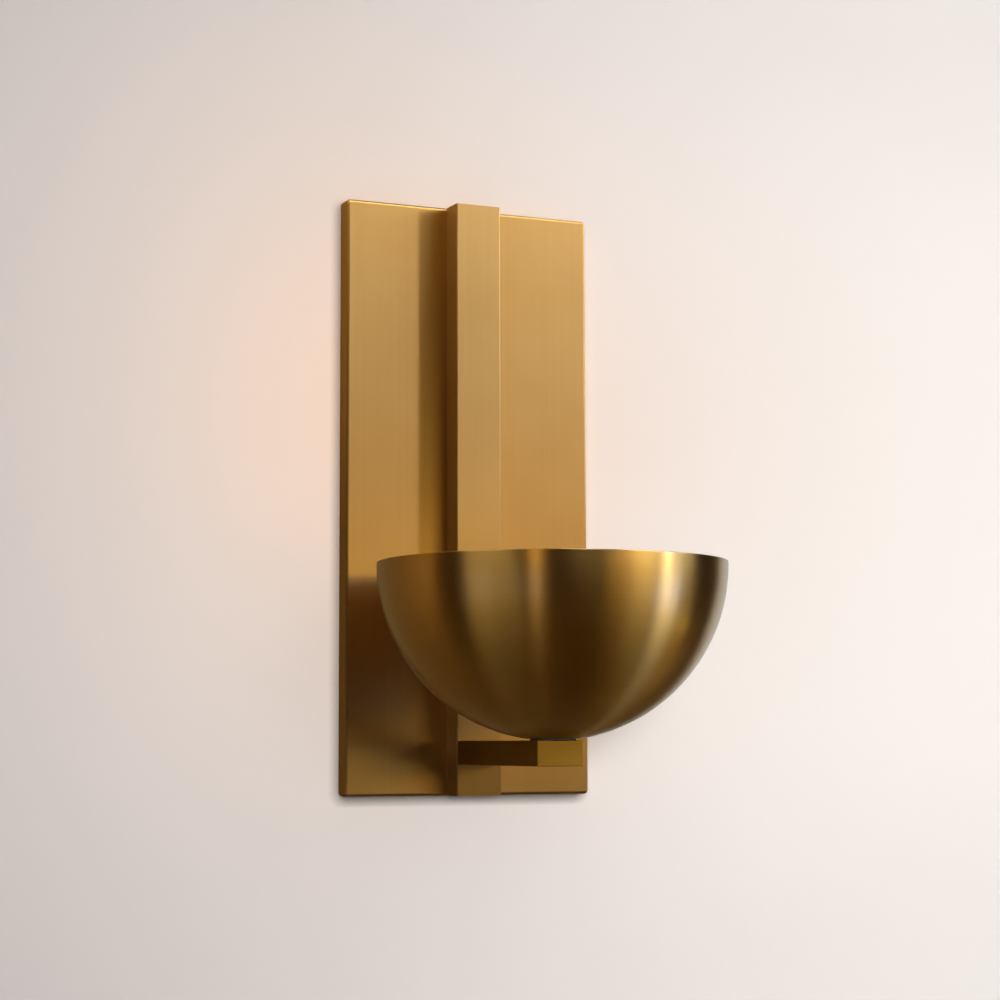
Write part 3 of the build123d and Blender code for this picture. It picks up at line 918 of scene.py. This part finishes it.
    def spin_about(self, centre: Vector, steps: int) -> None:
        """Turns the profile about an upright axis into a skin that faces away from its middle.

        Args:
            centre: the skin's middle, on the axis.
            steps: number of steps in the full turn.
        """
        with self.editing():
            bpy.ops.mesh.select_all(action="SELECT")
            bpy.ops.mesh.spin(steps=steps, angle=2 * math.pi, center=centre, axis=(0, 0, 1))
            bpy.ops.mesh.select_all(action="SELECT")
            bpy.ops.mesh.remove_doubles(threshold=MERGED)
            bpy.ops.mesh.normals_make_consistent(inside=False)
        face = max(self.obj.data.polygons, key=lambda polygon: polygon.area)
        if (face.center - centre).dot(face.normal) < 0:
            with self.editing():
                bpy.ops.mesh.select_all(action="SELECT")
                bpy.ops.mesh.flip_normals()

    def hand_over(self, body: Body, finish: Finish, *nodes: str) -> None:
        """Dresses the piece and lets it stand for CAD nodes.

        Args:
            body: the body that it moves with.
            finish: its surface.
            nodes: the CAD nodes that it stands for.
        """
        self.obj.data.materials.clear()
        self.obj.data.materials.append(finish.material())
        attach(self.obj, body.value)
        if nodes:
            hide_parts(*nodes)
        faces = len(self.obj.data.polygons)
        LOG.info("%s: %d faces, for %s", self.obj.name, faces, ", ".join(nodes) or "trim")


def middle_of(node: str) -> Vector:
    """Centre of a CAD node's box."""
    low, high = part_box(node)
    return (low + high) / 2


@dataclass(frozen=True)
class Frame:
    """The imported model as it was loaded."""

    nodes: dict[str, bpy.types.Object]

    def dress(self, finish: Finish, *names: str) -> None:
        """Gives CAD nodes a finish and leaves their shape.

        Args:
            finish: the surface.
            names: the nodes.
        """
        for name in names:
            for slot in self.nodes[name].material_slots:
                slot.material = finish.material()
            LOG.info("%s: dressed as %s", name, finish.slot)

    def refine(self, body: Body, finish: Finish, width: float, *names: str) -> None:
        """Puts softened copies in the place of CAD nodes.

        Args:
            body: the body that they move with.
            finish: their surface.
            width: width of the small rounds on their edges.
            names: the nodes.
        """
        for name in names:
            piece = Piece.like_node(f"{name}_finished", self.nodes[name])
            piece.soften(width).smooth().hand_over(body, finish, name)


@dataclass
class WallMount:
    """Steel strap on the wall with its earth screw."""

    frame: Frame
    strap_edge: float = 0.25 * MM
    screw_edge: float = 0.2 * MM
    washer_edge: float = 0.12 * MM

    def build(self) -> None:
        """Dresses the strap and its fasteners."""
        self.frame.refine(Body.WALL, ZincSteel("bracket_steel"), self.strap_edge, "wall_bracket")
        self.frame.refine(Body.WALL, Enamel("ground_green"), self.screw_edge, "ground_screw")
        self.frame.refine(Body.WALL, FASTENER_STEEL, self.washer_edge, "ground_washer")


@dataclass
class Plate:
    """Shallow brass pan on the wall, with its screws and earth point."""

    frame: Frame
    sheet: float = 1.5 * MM
    edge_radius: float = 1.6 * MM
    corner_radius: float = 1.9 * MM
    round_segments: int = 5
    window_half: tuple[float, float] = (11.0 * MM, 25.0 * MM)
    tool_window_half: tuple[float, float] = (10.0 * MM, 4.5 * MM)
    hole_radius: float = 2.2 * MM
    screw_x: float = 6.0 * MM
    screw_inset: float = 12.0 * MM
    nut_edge: float = 0.2 * MM
    screw_edge: float = 0.12 * MM

    def build(self) -> None:
        """Models the pan and dresses what is on it."""
        low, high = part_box("backplate")
        pan = Piece.block("plate_pan", low, high)
        pan.bevel_edges(lambda _, way: abs(way.y) > ALONG, self.corner_radius, self.round_segments)
        pan.bevel_edges(lambda middle, _: middle.y < low.y + NEAR, self.edge_radius, self.round_segments)
        pan.drop_faces(lambda _, normal: normal.y > ALONG)
        pan.thicken(self.sheet, use_quality_normals=True)
        pan.cut(*self.cutters(low.y - self.sheet, low.y + 2 * self.sheet))
        for z in (low.z, high.z):
            middle = (0, (low.y + high.y) / 2, z)
            pan.cut(Piece.rod("cutter", Axis.Z, self.hole_radius, middle, 4 * self.sheet))
        pan.smooth(CUT_CREASE)
        pan.hand_over(Body.FIXTURE, BrushedBrass("plate_brass"), "backplate")
        self.frame.refine(Body.FIXTURE, BLOCK_BRASS, self.nut_edge, "set_screw_nuts")
        screws = ("set_screws", "earth_stud", "earth_washer", "earth_nut", "spine_screws")
        self.frame.refine(Body.FIXTURE, FASTENER_STEEL, self.screw_edge, *screws)

    def cutters(self, front: float, back: float) -> list[Piece]:
        """Tools for the windows and screw holes through the face.

        Args:
            front: where the tools start.
            back: where they end.

        Returns:
            The tools.
        """
        low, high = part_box("backplate")
        tools = []
        for (half_x, half_z), z in ((self.window_half, 0.0), (self.tool_window_half, middle_of("arm").z)):
            tools.append(Piece.block("cutter", (-half_x, front, z - half_z), (half_x, back, z + half_z)))
        for x in (-self.screw_x, self.screw_x):
            for z in (low.z + self.screw_inset, high.z - self.screw_inset):
                middle = (x, (front + back) / 2, z)
                tools.append(Piece.rod("cutter", Axis.Y, self.hole_radius, middle, back - front))
        return tools


@dataclass
class Spine:
    """Upright rectangular tube down the middle of the plate."""

    frame: Frame
    plate: Plate
    wall: float = 1.5 * MM
    edge_radius: float = 0.9 * MM
    wire_radius: float = 3.2 * MM
    screw_radius: float = 2.2 * MM
    screw_head_radius: float = 3.5 * MM

    def build(self) -> None:
        """Models the tube and dresses its plugs."""
        low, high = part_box("spine")
        tube = Piece.block("spine_tube", low, high)
        tube.bevel_edges(
            lambda middle, way: abs(way.z) > ALONG and middle.y < low.y + NEAR, self.edge_radius
        )
        inset = Vector((self.wall, self.wall, -self.wall))
        tube.cut(Piece.block("cutter", low + inset, high - inset))
        back = high.y - self.wall / 2
        tube.cut(*self.plate.cutters(back - self.wall, back + self.wall))
        for x, z, radius in self.arm_holes():
            middle = (x, low.y + self.wall / 2, z)
            tube.cut(Piece.rod("cutter", Axis.Y, radius, middle, 2 * self.wall))
        tube.smooth(CUT_CREASE)
        brass = BrushedBrass("spine_brass", tone=(0.70, 0.41, 0.120), shade=(0.56, 0.305, 0.075), foot=0.8)
        tube.hand_over(Body.FIXTURE, brass, "spine")
        self.frame.dress(brass, "spine_top_plug", "spine_bottom_plug")

    def arm_holes(self) -> list[tuple[float, float, float]]:
        """Holes in the front wall behind the arm, as x, z and radius."""
        screw_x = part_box("arm_screws")[1].x - self.screw_head_radius
        screw_z = middle_of("arm_screws").z
        holes = [(0.0, middle_of("wire_bush").z, self.wire_radius)]
        return holes + [(side * screw_x, screw_z, self.screw_radius) for side in (-1, 1)]


@dataclass
class Arm:
    """Level rectangular tube that carries the bowl."""

    frame: Frame
    wall: float = 1.5 * MM
    edge_radius: float = 0.3 * MM
    edge_segments: int = 3
    nipple_radius: float = 5.2 * MM
    screw_edge: float = 0.12 * MM

    def build(self) -> None:
        """Models the tube and dresses its blocks and screws."""
        low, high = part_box("arm")
        tube = Piece.block("arm_tube", low, high)
        tube.bevel_edges(
            lambda middle, way: abs(way.y) > ALONG or middle.y < low.y + NEAR,
            self.edge_radius,
            self.edge_segments,
        )
        inset = Vector((self.wall, -self.wall, self.wall))
        tube.cut(Piece.block("cutter", low + inset, high - inset))
        middle = (0.0, middle_of("nipple").y, high.z)
        tube.cut(Piece.rod("cutter", Axis.Z, self.nipple_radius, middle, 2 * self.wall, BORE_SIDES))
        tube.smooth(CUT_CREASE)
        # The arm and its end block get a far darker brass than the plate's: painted shade, standing in for
        # the bowl's shade on the arm.
        brass = BrushedBrass(
            "arm_brass",
            tone=(0.39, 0.238, 0.045),
            shade=(0.32, 0.178, 0.028),
            roughness=0.28,
            lay=Lay.FORWARD,
            anisotropy=0.8,
            turn=0.25,
            grain=0.3,
        )
        tube.hand_over(Body.FIXTURE, brass, "arm")
        self.frame.dress(brass, "arm_end_block")
        self.frame.dress(BLOCK_BRASS, "arm_root_block")
        self.frame.refine(Body.FIXTURE, FASTENER_STEEL, self.screw_edge, "arm_screws")


@dataclass
class Bowl:
    """Spun brass bowl with the parts that clamp it on the arm."""

    frame: Frame
    wall: float = 1.2 * MM
    rim_round: float = 0.42 * MM
    seat_radius: float = 13.0 * MM
    hole_radius: float = 5.2 * MM
    rim_rise: float = 0.8 * MM
    profile_points: int = 240
    turn_steps: int = 192
    washer_edge: float = 0.15 * MM
    nut_sides: int = 6
    nut_bore: float = 5.05 * MM
    nut_edge: float = 0.12 * MM
    nut_disc_share: float = 1.02
    nut_face_share: float = 0.97
    nut_disc_sides: int = 96

    def build(self) -> None:
        """Models the bowl and its nuts, and dresses the rest."""
        low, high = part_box("bowl")
        centre = Vector((0.0, middle_of("nipple").y, high.z - self.rim_rise))
        shell = Piece.hoop("bowl_shell", high.x, centre, self.profile_points)
        shell.drop_points(lambda place, _: place.x < self.seat_radius - NEAR or place.z > centre.z + NEAR)
        with shell.editing():
            shell.pick_points(lambda place, _: place.z > centre.z - NEAR)
            shell.extrude(0, self.rim_rise)
            self.draw_seat(shell, low.z)
        shell.spin_about(centre, self.turn_steps)
        shell.thicken(self.wall, use_quality_normals=True)
        shell.bevel_edges(
            lambda middle, way: middle.z > high.z - NEAR and abs(way.z) < ACROSS, self.rim_round
        )
        shell.smooth()
        shell.hand_over(Body.FIXTURE, SpunBrass("bowl_brass", centre=tuple(centre)), "bowl")
        self.frame.dress(FibreWasher("seat_black"), "seat_washer")
        self.frame.refine(Body.FIXTURE, FASTENER_STEEL, self.washer_edge, "bowl_washer")
        self.nut("bowl_nut")
        self.nut("holder_nut")
        self.frame.dress(MachinedMetal("nipple_brass"), "nipple")

    def draw_seat(self, shell: Piece, bottom: float) -> None:
        """Adds the flat seat to the profile's lower end, in edit mode.

        Args:
            shell: the profile.
            bottom: height of the seat.
        """
        mesh = bmesh.from_edit_mesh(shell.obj.data)
        end = min((point.co.copy() for point in mesh.verts), key=lambda place: place.z)
        shell.pick_points(lambda place, _: place.z < end.z + NEAR)
        shell.extrude(self.seat_radius - end.x, bottom - end.z)
        shell.extrude(self.hole_radius - self.seat_radius, 0)

    def nut(self, node: str) -> None:
        """Models a chamfered six-sided nut in a node's place.

        Args:
            node: the CAD node.
        """
        low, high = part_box(node)
        middle = (low + high) / 2
        height = high.z - low.z
        corner = (high.x - low.x) / 2
        flat = (high.y - low.y) / 2
        nut = Piece.rod(f"{node}_hex", Axis.Z, corner, middle, height, self.nut_sides)
        half_side = math.pi / self.nut_sides
        with nut.editing():
            bpy.ops.mesh.select_all(action="SELECT")
            bpy.ops.transform.rotate(value=half_side, orient_axis="Z", center_override=middle)
        disc_radius = corner * self.nut_disc_share
        disc = Piece.rod("cutter", Axis.Z, disc_radius, middle, height, self.nut_disc_sides)
        chamfer = disc_radius - flat * self.nut_face_share
        disc.bevel_edges(lambda _, way: abs(way.z) < ACROSS, chamfer, segments=1)
        nut.join_shape("INTERSECT", disc)
        nut.cut(Piece.rod("cutter", Axis.Z, self.nut_bore, middle, height * 2, BORE_SIDES))
        nut.soften(self.nut_edge).smooth(CUT_CREASE)
        nut.hand_over(Body.FIXTURE, FASTENER_STEEL, node)


@dataclass
class Holder:
    """Ceramic lamp holder on its bent bridge."""

    frame: Frame
    bridge_edge: float = 0.2 * MM
    ceramic_edge: float = 0.45 * MM
    screw_edge: float = 0.15 * MM
    bush_edge: float = 0.15 * MM

    def build(self) -> None:
        """Softens and dresses the holder's pieces."""
        bridge = ZincSteel("bridge_steel", crystal=600.0)
        self.frame.refine(Body.FIXTURE, bridge, self.bridge_edge, "holder_bridge")
        self.frame.refine(Body.FIXTURE, Ceramic("holder_ceramic"), self.ceramic_edge, "lamp_holder")
        self.frame.refine(Body.FIXTURE, FASTENER_STEEL, self.screw_edge, "holder_screws")
        clip = MachinedMetal("contact_brass", tone=(0.80, 0.52, 0.30), shade=(0.62, 0.36, 0.18))
        self.frame.dress(clip, "holder_contacts")
        nylon = MouldedPlastic("bush_nylon", depth=0.1)
        self.frame.refine(Body.FIXTURE, nylon, self.bush_edge, "nipple_bush", "wire_bush")


@dataclass
class Lamp:
    """Push-in capsule lamp."""

    frame: Frame
    glass_wall: float = 0.9 * MM
    profile_points: int = 64
    turn_steps: int = 64
    board: float = 0.5 * MM
    board_corner: float = 0.8 * MM
    board_edge: float = 0.05 * MM
    board_end: float = 1.0 * MM
    chip: tuple[float, float] = (1.7 * MM, 2.0 * MM)
    chip_round: float = 0.2 * MM
    chip_rows: int = 7
    column_step: float = 2.2 * MM
    base_edge: float = 0.4 * MM

    def build(self) -> None:
        """Models the glass and the light sources, and dresses the base."""
        ceramic = Ceramic("lamp_ceramic")
        self.glass()
        self.strip(ceramic)
        for side, name in ((-1, "lamp_chips_front"), (1, "lamp_chips_back")):
            self.chips(side, name)
        self.frame.refine(Body.LAMP, ceramic, self.base_edge, "lamp_base")
        wire = MachinedMetal("pin_steel", tone=(0.75, 0.75, 0.75), shade=(0.55, 0.55, 0.56), roughness=0.25)
        self.frame.dress(wire, "lamp_pins")

    def glass(self) -> None:
        """Models the domed glass."""
        low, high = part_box("lamp_envelope")
        radius = (high.x - low.x) / 2
        middle = (low + high) / 2
        dome = Vector((middle.x, middle.y, high.z - radius))
        glass = Piece.hoop("lamp_bulb", radius, dome, self.profile_points)
        glass.drop_points(lambda place, _: place.x < dome.x - NEAR or place.z < dome.z - NEAR)
        with glass.editing():
            glass.pick_points(lambda place, _: place.z < dome.z + NEAR)
            glass.extrude(0, low.z - dome.z)
        glass.spin_about(dome, self.turn_steps)
        glass.thicken(self.glass_wall).smooth()
        glass.hand_over(Body.LAMP, LampGlass("lamp_glass"), "lamp_envelope")

    def strip(self, ceramic: Ceramic) -> None:
        """Models the upright strip that carries the light sources.

        Args:
            ceramic: its surface.
        """
        low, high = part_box("lamp_core")
        middle = (low + high) / 2
        half_board = Vector((0, self.board / 2, 0))
        strip_low = Vector((low.x, middle.y, low.z)) - half_board
        strip_high = Vector((high.x, middle.y, high.z)) + half_board
        strip = Piece.block("lamp_strip", strip_low, strip_high)
        strip.bevel_edges(lambda place, way: abs(way.y) > ALONG and place.z > middle.z, self.board_corner)
        strip.soften(self.board_edge).smooth()
        strip.hand_over(Body.LAMP, ceramic, "lamp_core")

    def chips(self, side: int, name: str) -> None:
        """Models two columns of light sources on one face of the strip.

        Args:
            side: -1 for the front face, 1 for the back.
            name: the piece's name.
        """
        low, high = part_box("lamp_core")
        width, height = self.chip
        row_step = (high.z - low.z - 2 * self.board_end) / self.chip_rows
        start = low.z + self.board_end + (row_step - height) / 2
        middle_y = (low.y + high.y) / 2
        outer = middle_y + side * (high.y - low.y) / 2
        y_low, y_high = sorted((outer, middle_y + side * self.board / 2))
        x_low = -(self.column_step + width) / 2
        chip = Piece.block(name, (x_low, y_low, start), (x_low + width, y_high, start + height))
        chip.bevel_edges(
            lambda place, way: abs(place.y - outer) < NEAR or abs(way.y) > ALONG,
            self.chip_round,
            segments=2,
        )
        chip.repeat(2, (self.column_step, 0, 0)).repeat(self.chip_rows, (0, 0, row_step)).smooth()
        chip.hand_over(Body.LAMP, Phosphor("lamp_source"))


@dataclass
class Wiring:
    """Leads and the connector in the spine's hollow."""

    frame: Frame
    block_edge: float = 0.2 * MM
    screw_edge: float = 0.1 * MM
    lead_edge: float = 0.05 * MM
    lead_roughness: float = 0.35

    def build(self) -> None:
        """Softens and dresses the connector and the leads."""
        nylon = MouldedPlastic(
            "terminal_nylon", tone=(0.74, 0.74, 0.71), shade=(0.62, 0.62, 0.58), depth=0.15
        )
        self.frame.refine(Body.FIXTURE, nylon, self.block_edge, "terminal_block")
        insert = MachinedMetal("insert_brass", tone=(0.80, 0.60, 0.28), shade=(0.62, 0.43, 0.17))
        self.frame.dress(insert, "terminal_inserts")
        screws = ("terminal_screws", "terminal_stud", "terminal_nut")
        self.frame.refine(Body.FIXTURE, FASTENER_STEEL, self.screw_edge, *screws)
        for slot, lead, tone, shade in (
            ("live_insulation", "live_lead", (0.030, 0.030, 0.032), (0.016, 0.016, 0.017)),
            ("neutral_insulation", "neutral_lead", (0.80, 0.80, 0.77), (0.68, 0.68, 0.64)),
        ):
            skin = MouldedPlastic(slot, tone, shade, self.lead_roughness)
            self.frame.refine(Body.FIXTURE, skin, self.lead_edge, lead)


@dataclass(frozen=True)
class Softbox:
    """Panel of light, placed by the direction in which it stands from the sconce.

    Azimuth is 0 straight in front of the wall and grows to the right. All angles are in degrees, the
    panel's width and height too.
    """

    name: str
    azimuth: float
    elevation: float
    width: float
    height: float
    level: float
    colour: Colour = (1.0, 1.0, 1.0)
    reach: Reach = Reach.METAL
    distance: float = 3.0

    def build(self, target: Vector) -> None:
        """Hangs the panel so that it faces the target.

        Args:
            target: the point that it faces.
        """
        turn, climb = math.radians(self.azimuth), math.radians(self.elevation)
        way = Vector((math.sin(turn) * math.cos(climb), -math.cos(turn) * math.cos(climb), math.sin(climb)))
        bpy.ops.object.light_add(type="AREA", location=target + way * self.distance)
        lamp = bpy.context.active_object
        lamp.name = self.name
        lamp.rotation_mode = "QUATERNION"
        lamp.rotation_quaternion = way.to_track_quat("Z", "Y")
        wide, high = (2 * self.distance * math.tan(math.radians(a / 2)) for a in (self.width, self.height))
        wide *= math.cos(climb)
        lamp.data.shape = "RECTANGLE"
        lamp.data.size = wide
        lamp.data.size_y = high
        lamp.data.color = self.colour
        lamp.data.energy = self.level * math.pi * wide * high
        lamp.visible_camera = False
        lamp.visible_glossy = self.reach is not Reach.MATT
        lamp.visible_diffuse = self.reach is not Reach.METAL


@dataclass
class Studio:
    """Wall, floor, lights and camera."""

    wall_half: float = 1.3
    wall_depth: float = 10.0 * MM
    wall_gap: float = 0.3 * MM
    opening_half: tuple[float, float] = (62.0 * MM, 147.0 * MM)
    floor_half: float = 4.0
    floor_depth: float = 50.0 * MM
    floor_height: float = -1.3
    floor_round: float = 20.0 * MM
    pale_room: Colour = (0.86, 0.81, 0.76)
    dim_room: Colour = (0.012, 0.008, 0.003)
    light_target: tuple[float, float, float] = (0.0, -0.08, -0.03)
    eye: tuple[float, float, float] = (-0.4814, -1.1185, -0.1247)
    aim: tuple[float, float, float] = (0.02173, 0.0, 0.00123)
    roll: float = -0.15
    lens: float = 84.33
    sensor: float = 36.0
    clip_start: float = 50.0 * MM
    # Name, azimuth, elevation, width, height, level and colour of each panel.
    softboxes: tuple[Softbox, ...] = (
        Softbox("key", 53.9, 13.0, 4.2, 14.0, 20.0, (0.94, 1.02, 1.50)),
        Softbox("key_wide", 56.0, 13.0, 16.0, 14.0, 2.1, (0.94, 1.02, 1.50)),
        Softbox("key_upper", 43.0, 38.0, 24.0, 36.0, 7.9, (0.97, 1.06, 1.12)),
        Softbox("key_right", 72.0, 22.0, 16.0, 20.0, 3.9, (0.86, 1.08, 1.35)),
        Softbox("front_low", 24.0, 2.9, 32.0, 6.2, 2.68, (1.0, 0.80, 0.36)),
        Softbox("edge_gap", 47.0, -3.0, 18.0, 6.0, 1.2, (1.0, 0.72, 0.26)),
        Softbox("front_high", 24.0, 26.0, 16.0, 12.0, 2.0, (1.0, 0.64, 0.34)),
        Softbox("bowl_edge", 57.0, -13.5, 17.0, 15.0, 2.7, (0.72, 1.07, 2.1)),
        Softbox("bowl_wide", 37.0, -14.0, 20.0, 16.0, 0.34, (1.0, 0.95, 0.68)),
        Softbox("bowl_floor", 72.0, -34.0, 36.0, 24.0, 3.5, (1.0, 0.76, 0.16)),
        Softbox("left_panel", -73.0, -14.0, 18.0, 16.0, 0.77),
        Softbox("left_mid", -54.5, -14.0, 18.0, 16.0, 0.45),
        Softbox("left_strip", -35.8, -14.0, 5.6, 16.0, 1.1, (0.74, 1.0, 1.3)),
        Softbox("left_floor", -66.0, -34.0, 48.0, 24.0, 1.4, (1.0, 0.84, 0.40)),
        Softbox("left_floor_strip", -36.0, -34.0, 12.0, 24.0, 2.9, (1.0, 0.74, 0.57)),
        Softbox("left_high", -70.0, 37.0, 38.0, 36.0, 1.8),
        Softbox("left_high_strip", -36.0, 26.0, 8.0, 12.0, 7.9, (1.0, 0.71, 0.24)),
        Softbox("top", 15.0, 68.0, 30.0, 24.0, 10.0, (0.95, 1.04, 1.25)),
        Softbox("lens_fill", -17.0, 2.0, 12.0, 12.0, 50.0, (1.0, 0.98, 0.96), Reach.MATT),
        Softbox("front_fill", 0.0, 15.0, 60.0, 60.0, 1.07, (1.0, 0.98, 0.96), Reach.MATT),
        Softbox("rear_panel", 165.0, 25.0, 55.0, 55.0, 2.4, reach=Reach.ALL),
    )

    def build(self) -> None:
        """Sets up the whole studio."""
        self.wall()
        self.floor()
        for softbox in self.softboxes:
            softbox.build(Vector(self.light_target))
        self.world()
        self.camera()
        bpy.context.scene.view_settings.view_transform = "Standard"

    def wall(self) -> None:
        """Builds the pale wall as one forward face, with a patch behind the plate that stops no light."""
        half, (half_x, half_z) = self.wall_half, self.opening_half
        front, back = self.wall_gap, self.wall_gap + self.wall_depth
        wall = Piece.block("pale_wall", (-half, front, -half), (half, back, half))
        wall.cut(Piece.block("cutter", (-half_x, -back, -half_z), (half_x, 2 * back, half_z)))
        patch = Piece.block("pale_wall_patch", (-half_x, front, -half_z), (half_x, back, half_z))
        patch.obj.visible_shadow = False
        for piece in (wall, patch):
            piece.drop_faces(lambda _, normal: normal.y > -ALONG)
            piece.obj.data.materials.append(WallPaint("wall_paint").material())

    def floor(self) -> None:
        """Builds the pale floor."""
        half, top = self.floor_half, self.floor_height
        floor = Piece.block("pale_floor", (-half, -half, top - self.floor_depth), (half, half, top))
        floor.bevel_edges(lambda middle, _: middle.z > top - NEAR, self.floor_round, segments=3)
        floor.obj.data.materials.append(FloorPaint("floor_paint").material())

    def world(self) -> None:
        """Sets a room that is pale where the camera sees it, also through glass, and dim for the rest."""
        world = bpy.data.worlds.new("studio_room")
        world.use_nodes = True
        bpy.context.scene.world = world
        graph = Graph(world.node_tree)
        seen = graph.ray("Is Camera Ray").largest(graph.ray("Is Transmission Ray"))
        colour = graph.blend(self.dim_room, self.pale_room, seen)
        shade = graph.node("ShaderNodeBackground", None, {"Color": colour})
        graph.output(shade.outputs[0], "ShaderNodeOutputWorld")

    def camera(self) -> None:
        """Sets the camera at the photograph's viewing angle."""
        bpy.ops.object.camera_add(location=self.eye)
        camera = bpy.context.active_object
        camera.name = "studio_camera"
        way = Vector(self.aim) - Vector(self.eye)
        roll = Quaternion((0, 0, 1), math.radians(self.roll))
        camera.rotation_mode = "QUATERNION"
        camera.rotation_quaternion = way.to_track_quat("-Z", "Y") @ roll
        camera.data.sensor_width = self.sensor
        camera.data.lens = self.lens
        camera.data.clip_start = self.clip_start
        bpy.context.scene.camera = camera


def main() -> None:
    """Loads the frame, builds each sub-assembly and sets up the studio."""
    logging.basicConfig(level=logging.INFO, format="%(name)s: %(message)s")
    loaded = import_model()
    frame = Frame(loaded["nodes"])
    plate = Plate(frame)
    parts = [WallMount(frame), plate, Spine(frame, plate)]
    parts += [kind(frame) for kind in (Arm, Bowl, Holder, Lamp, Wiring)]
    for part in parts:
        part.build()
    Studio().build()


if __name__ == "__main__":
    main()
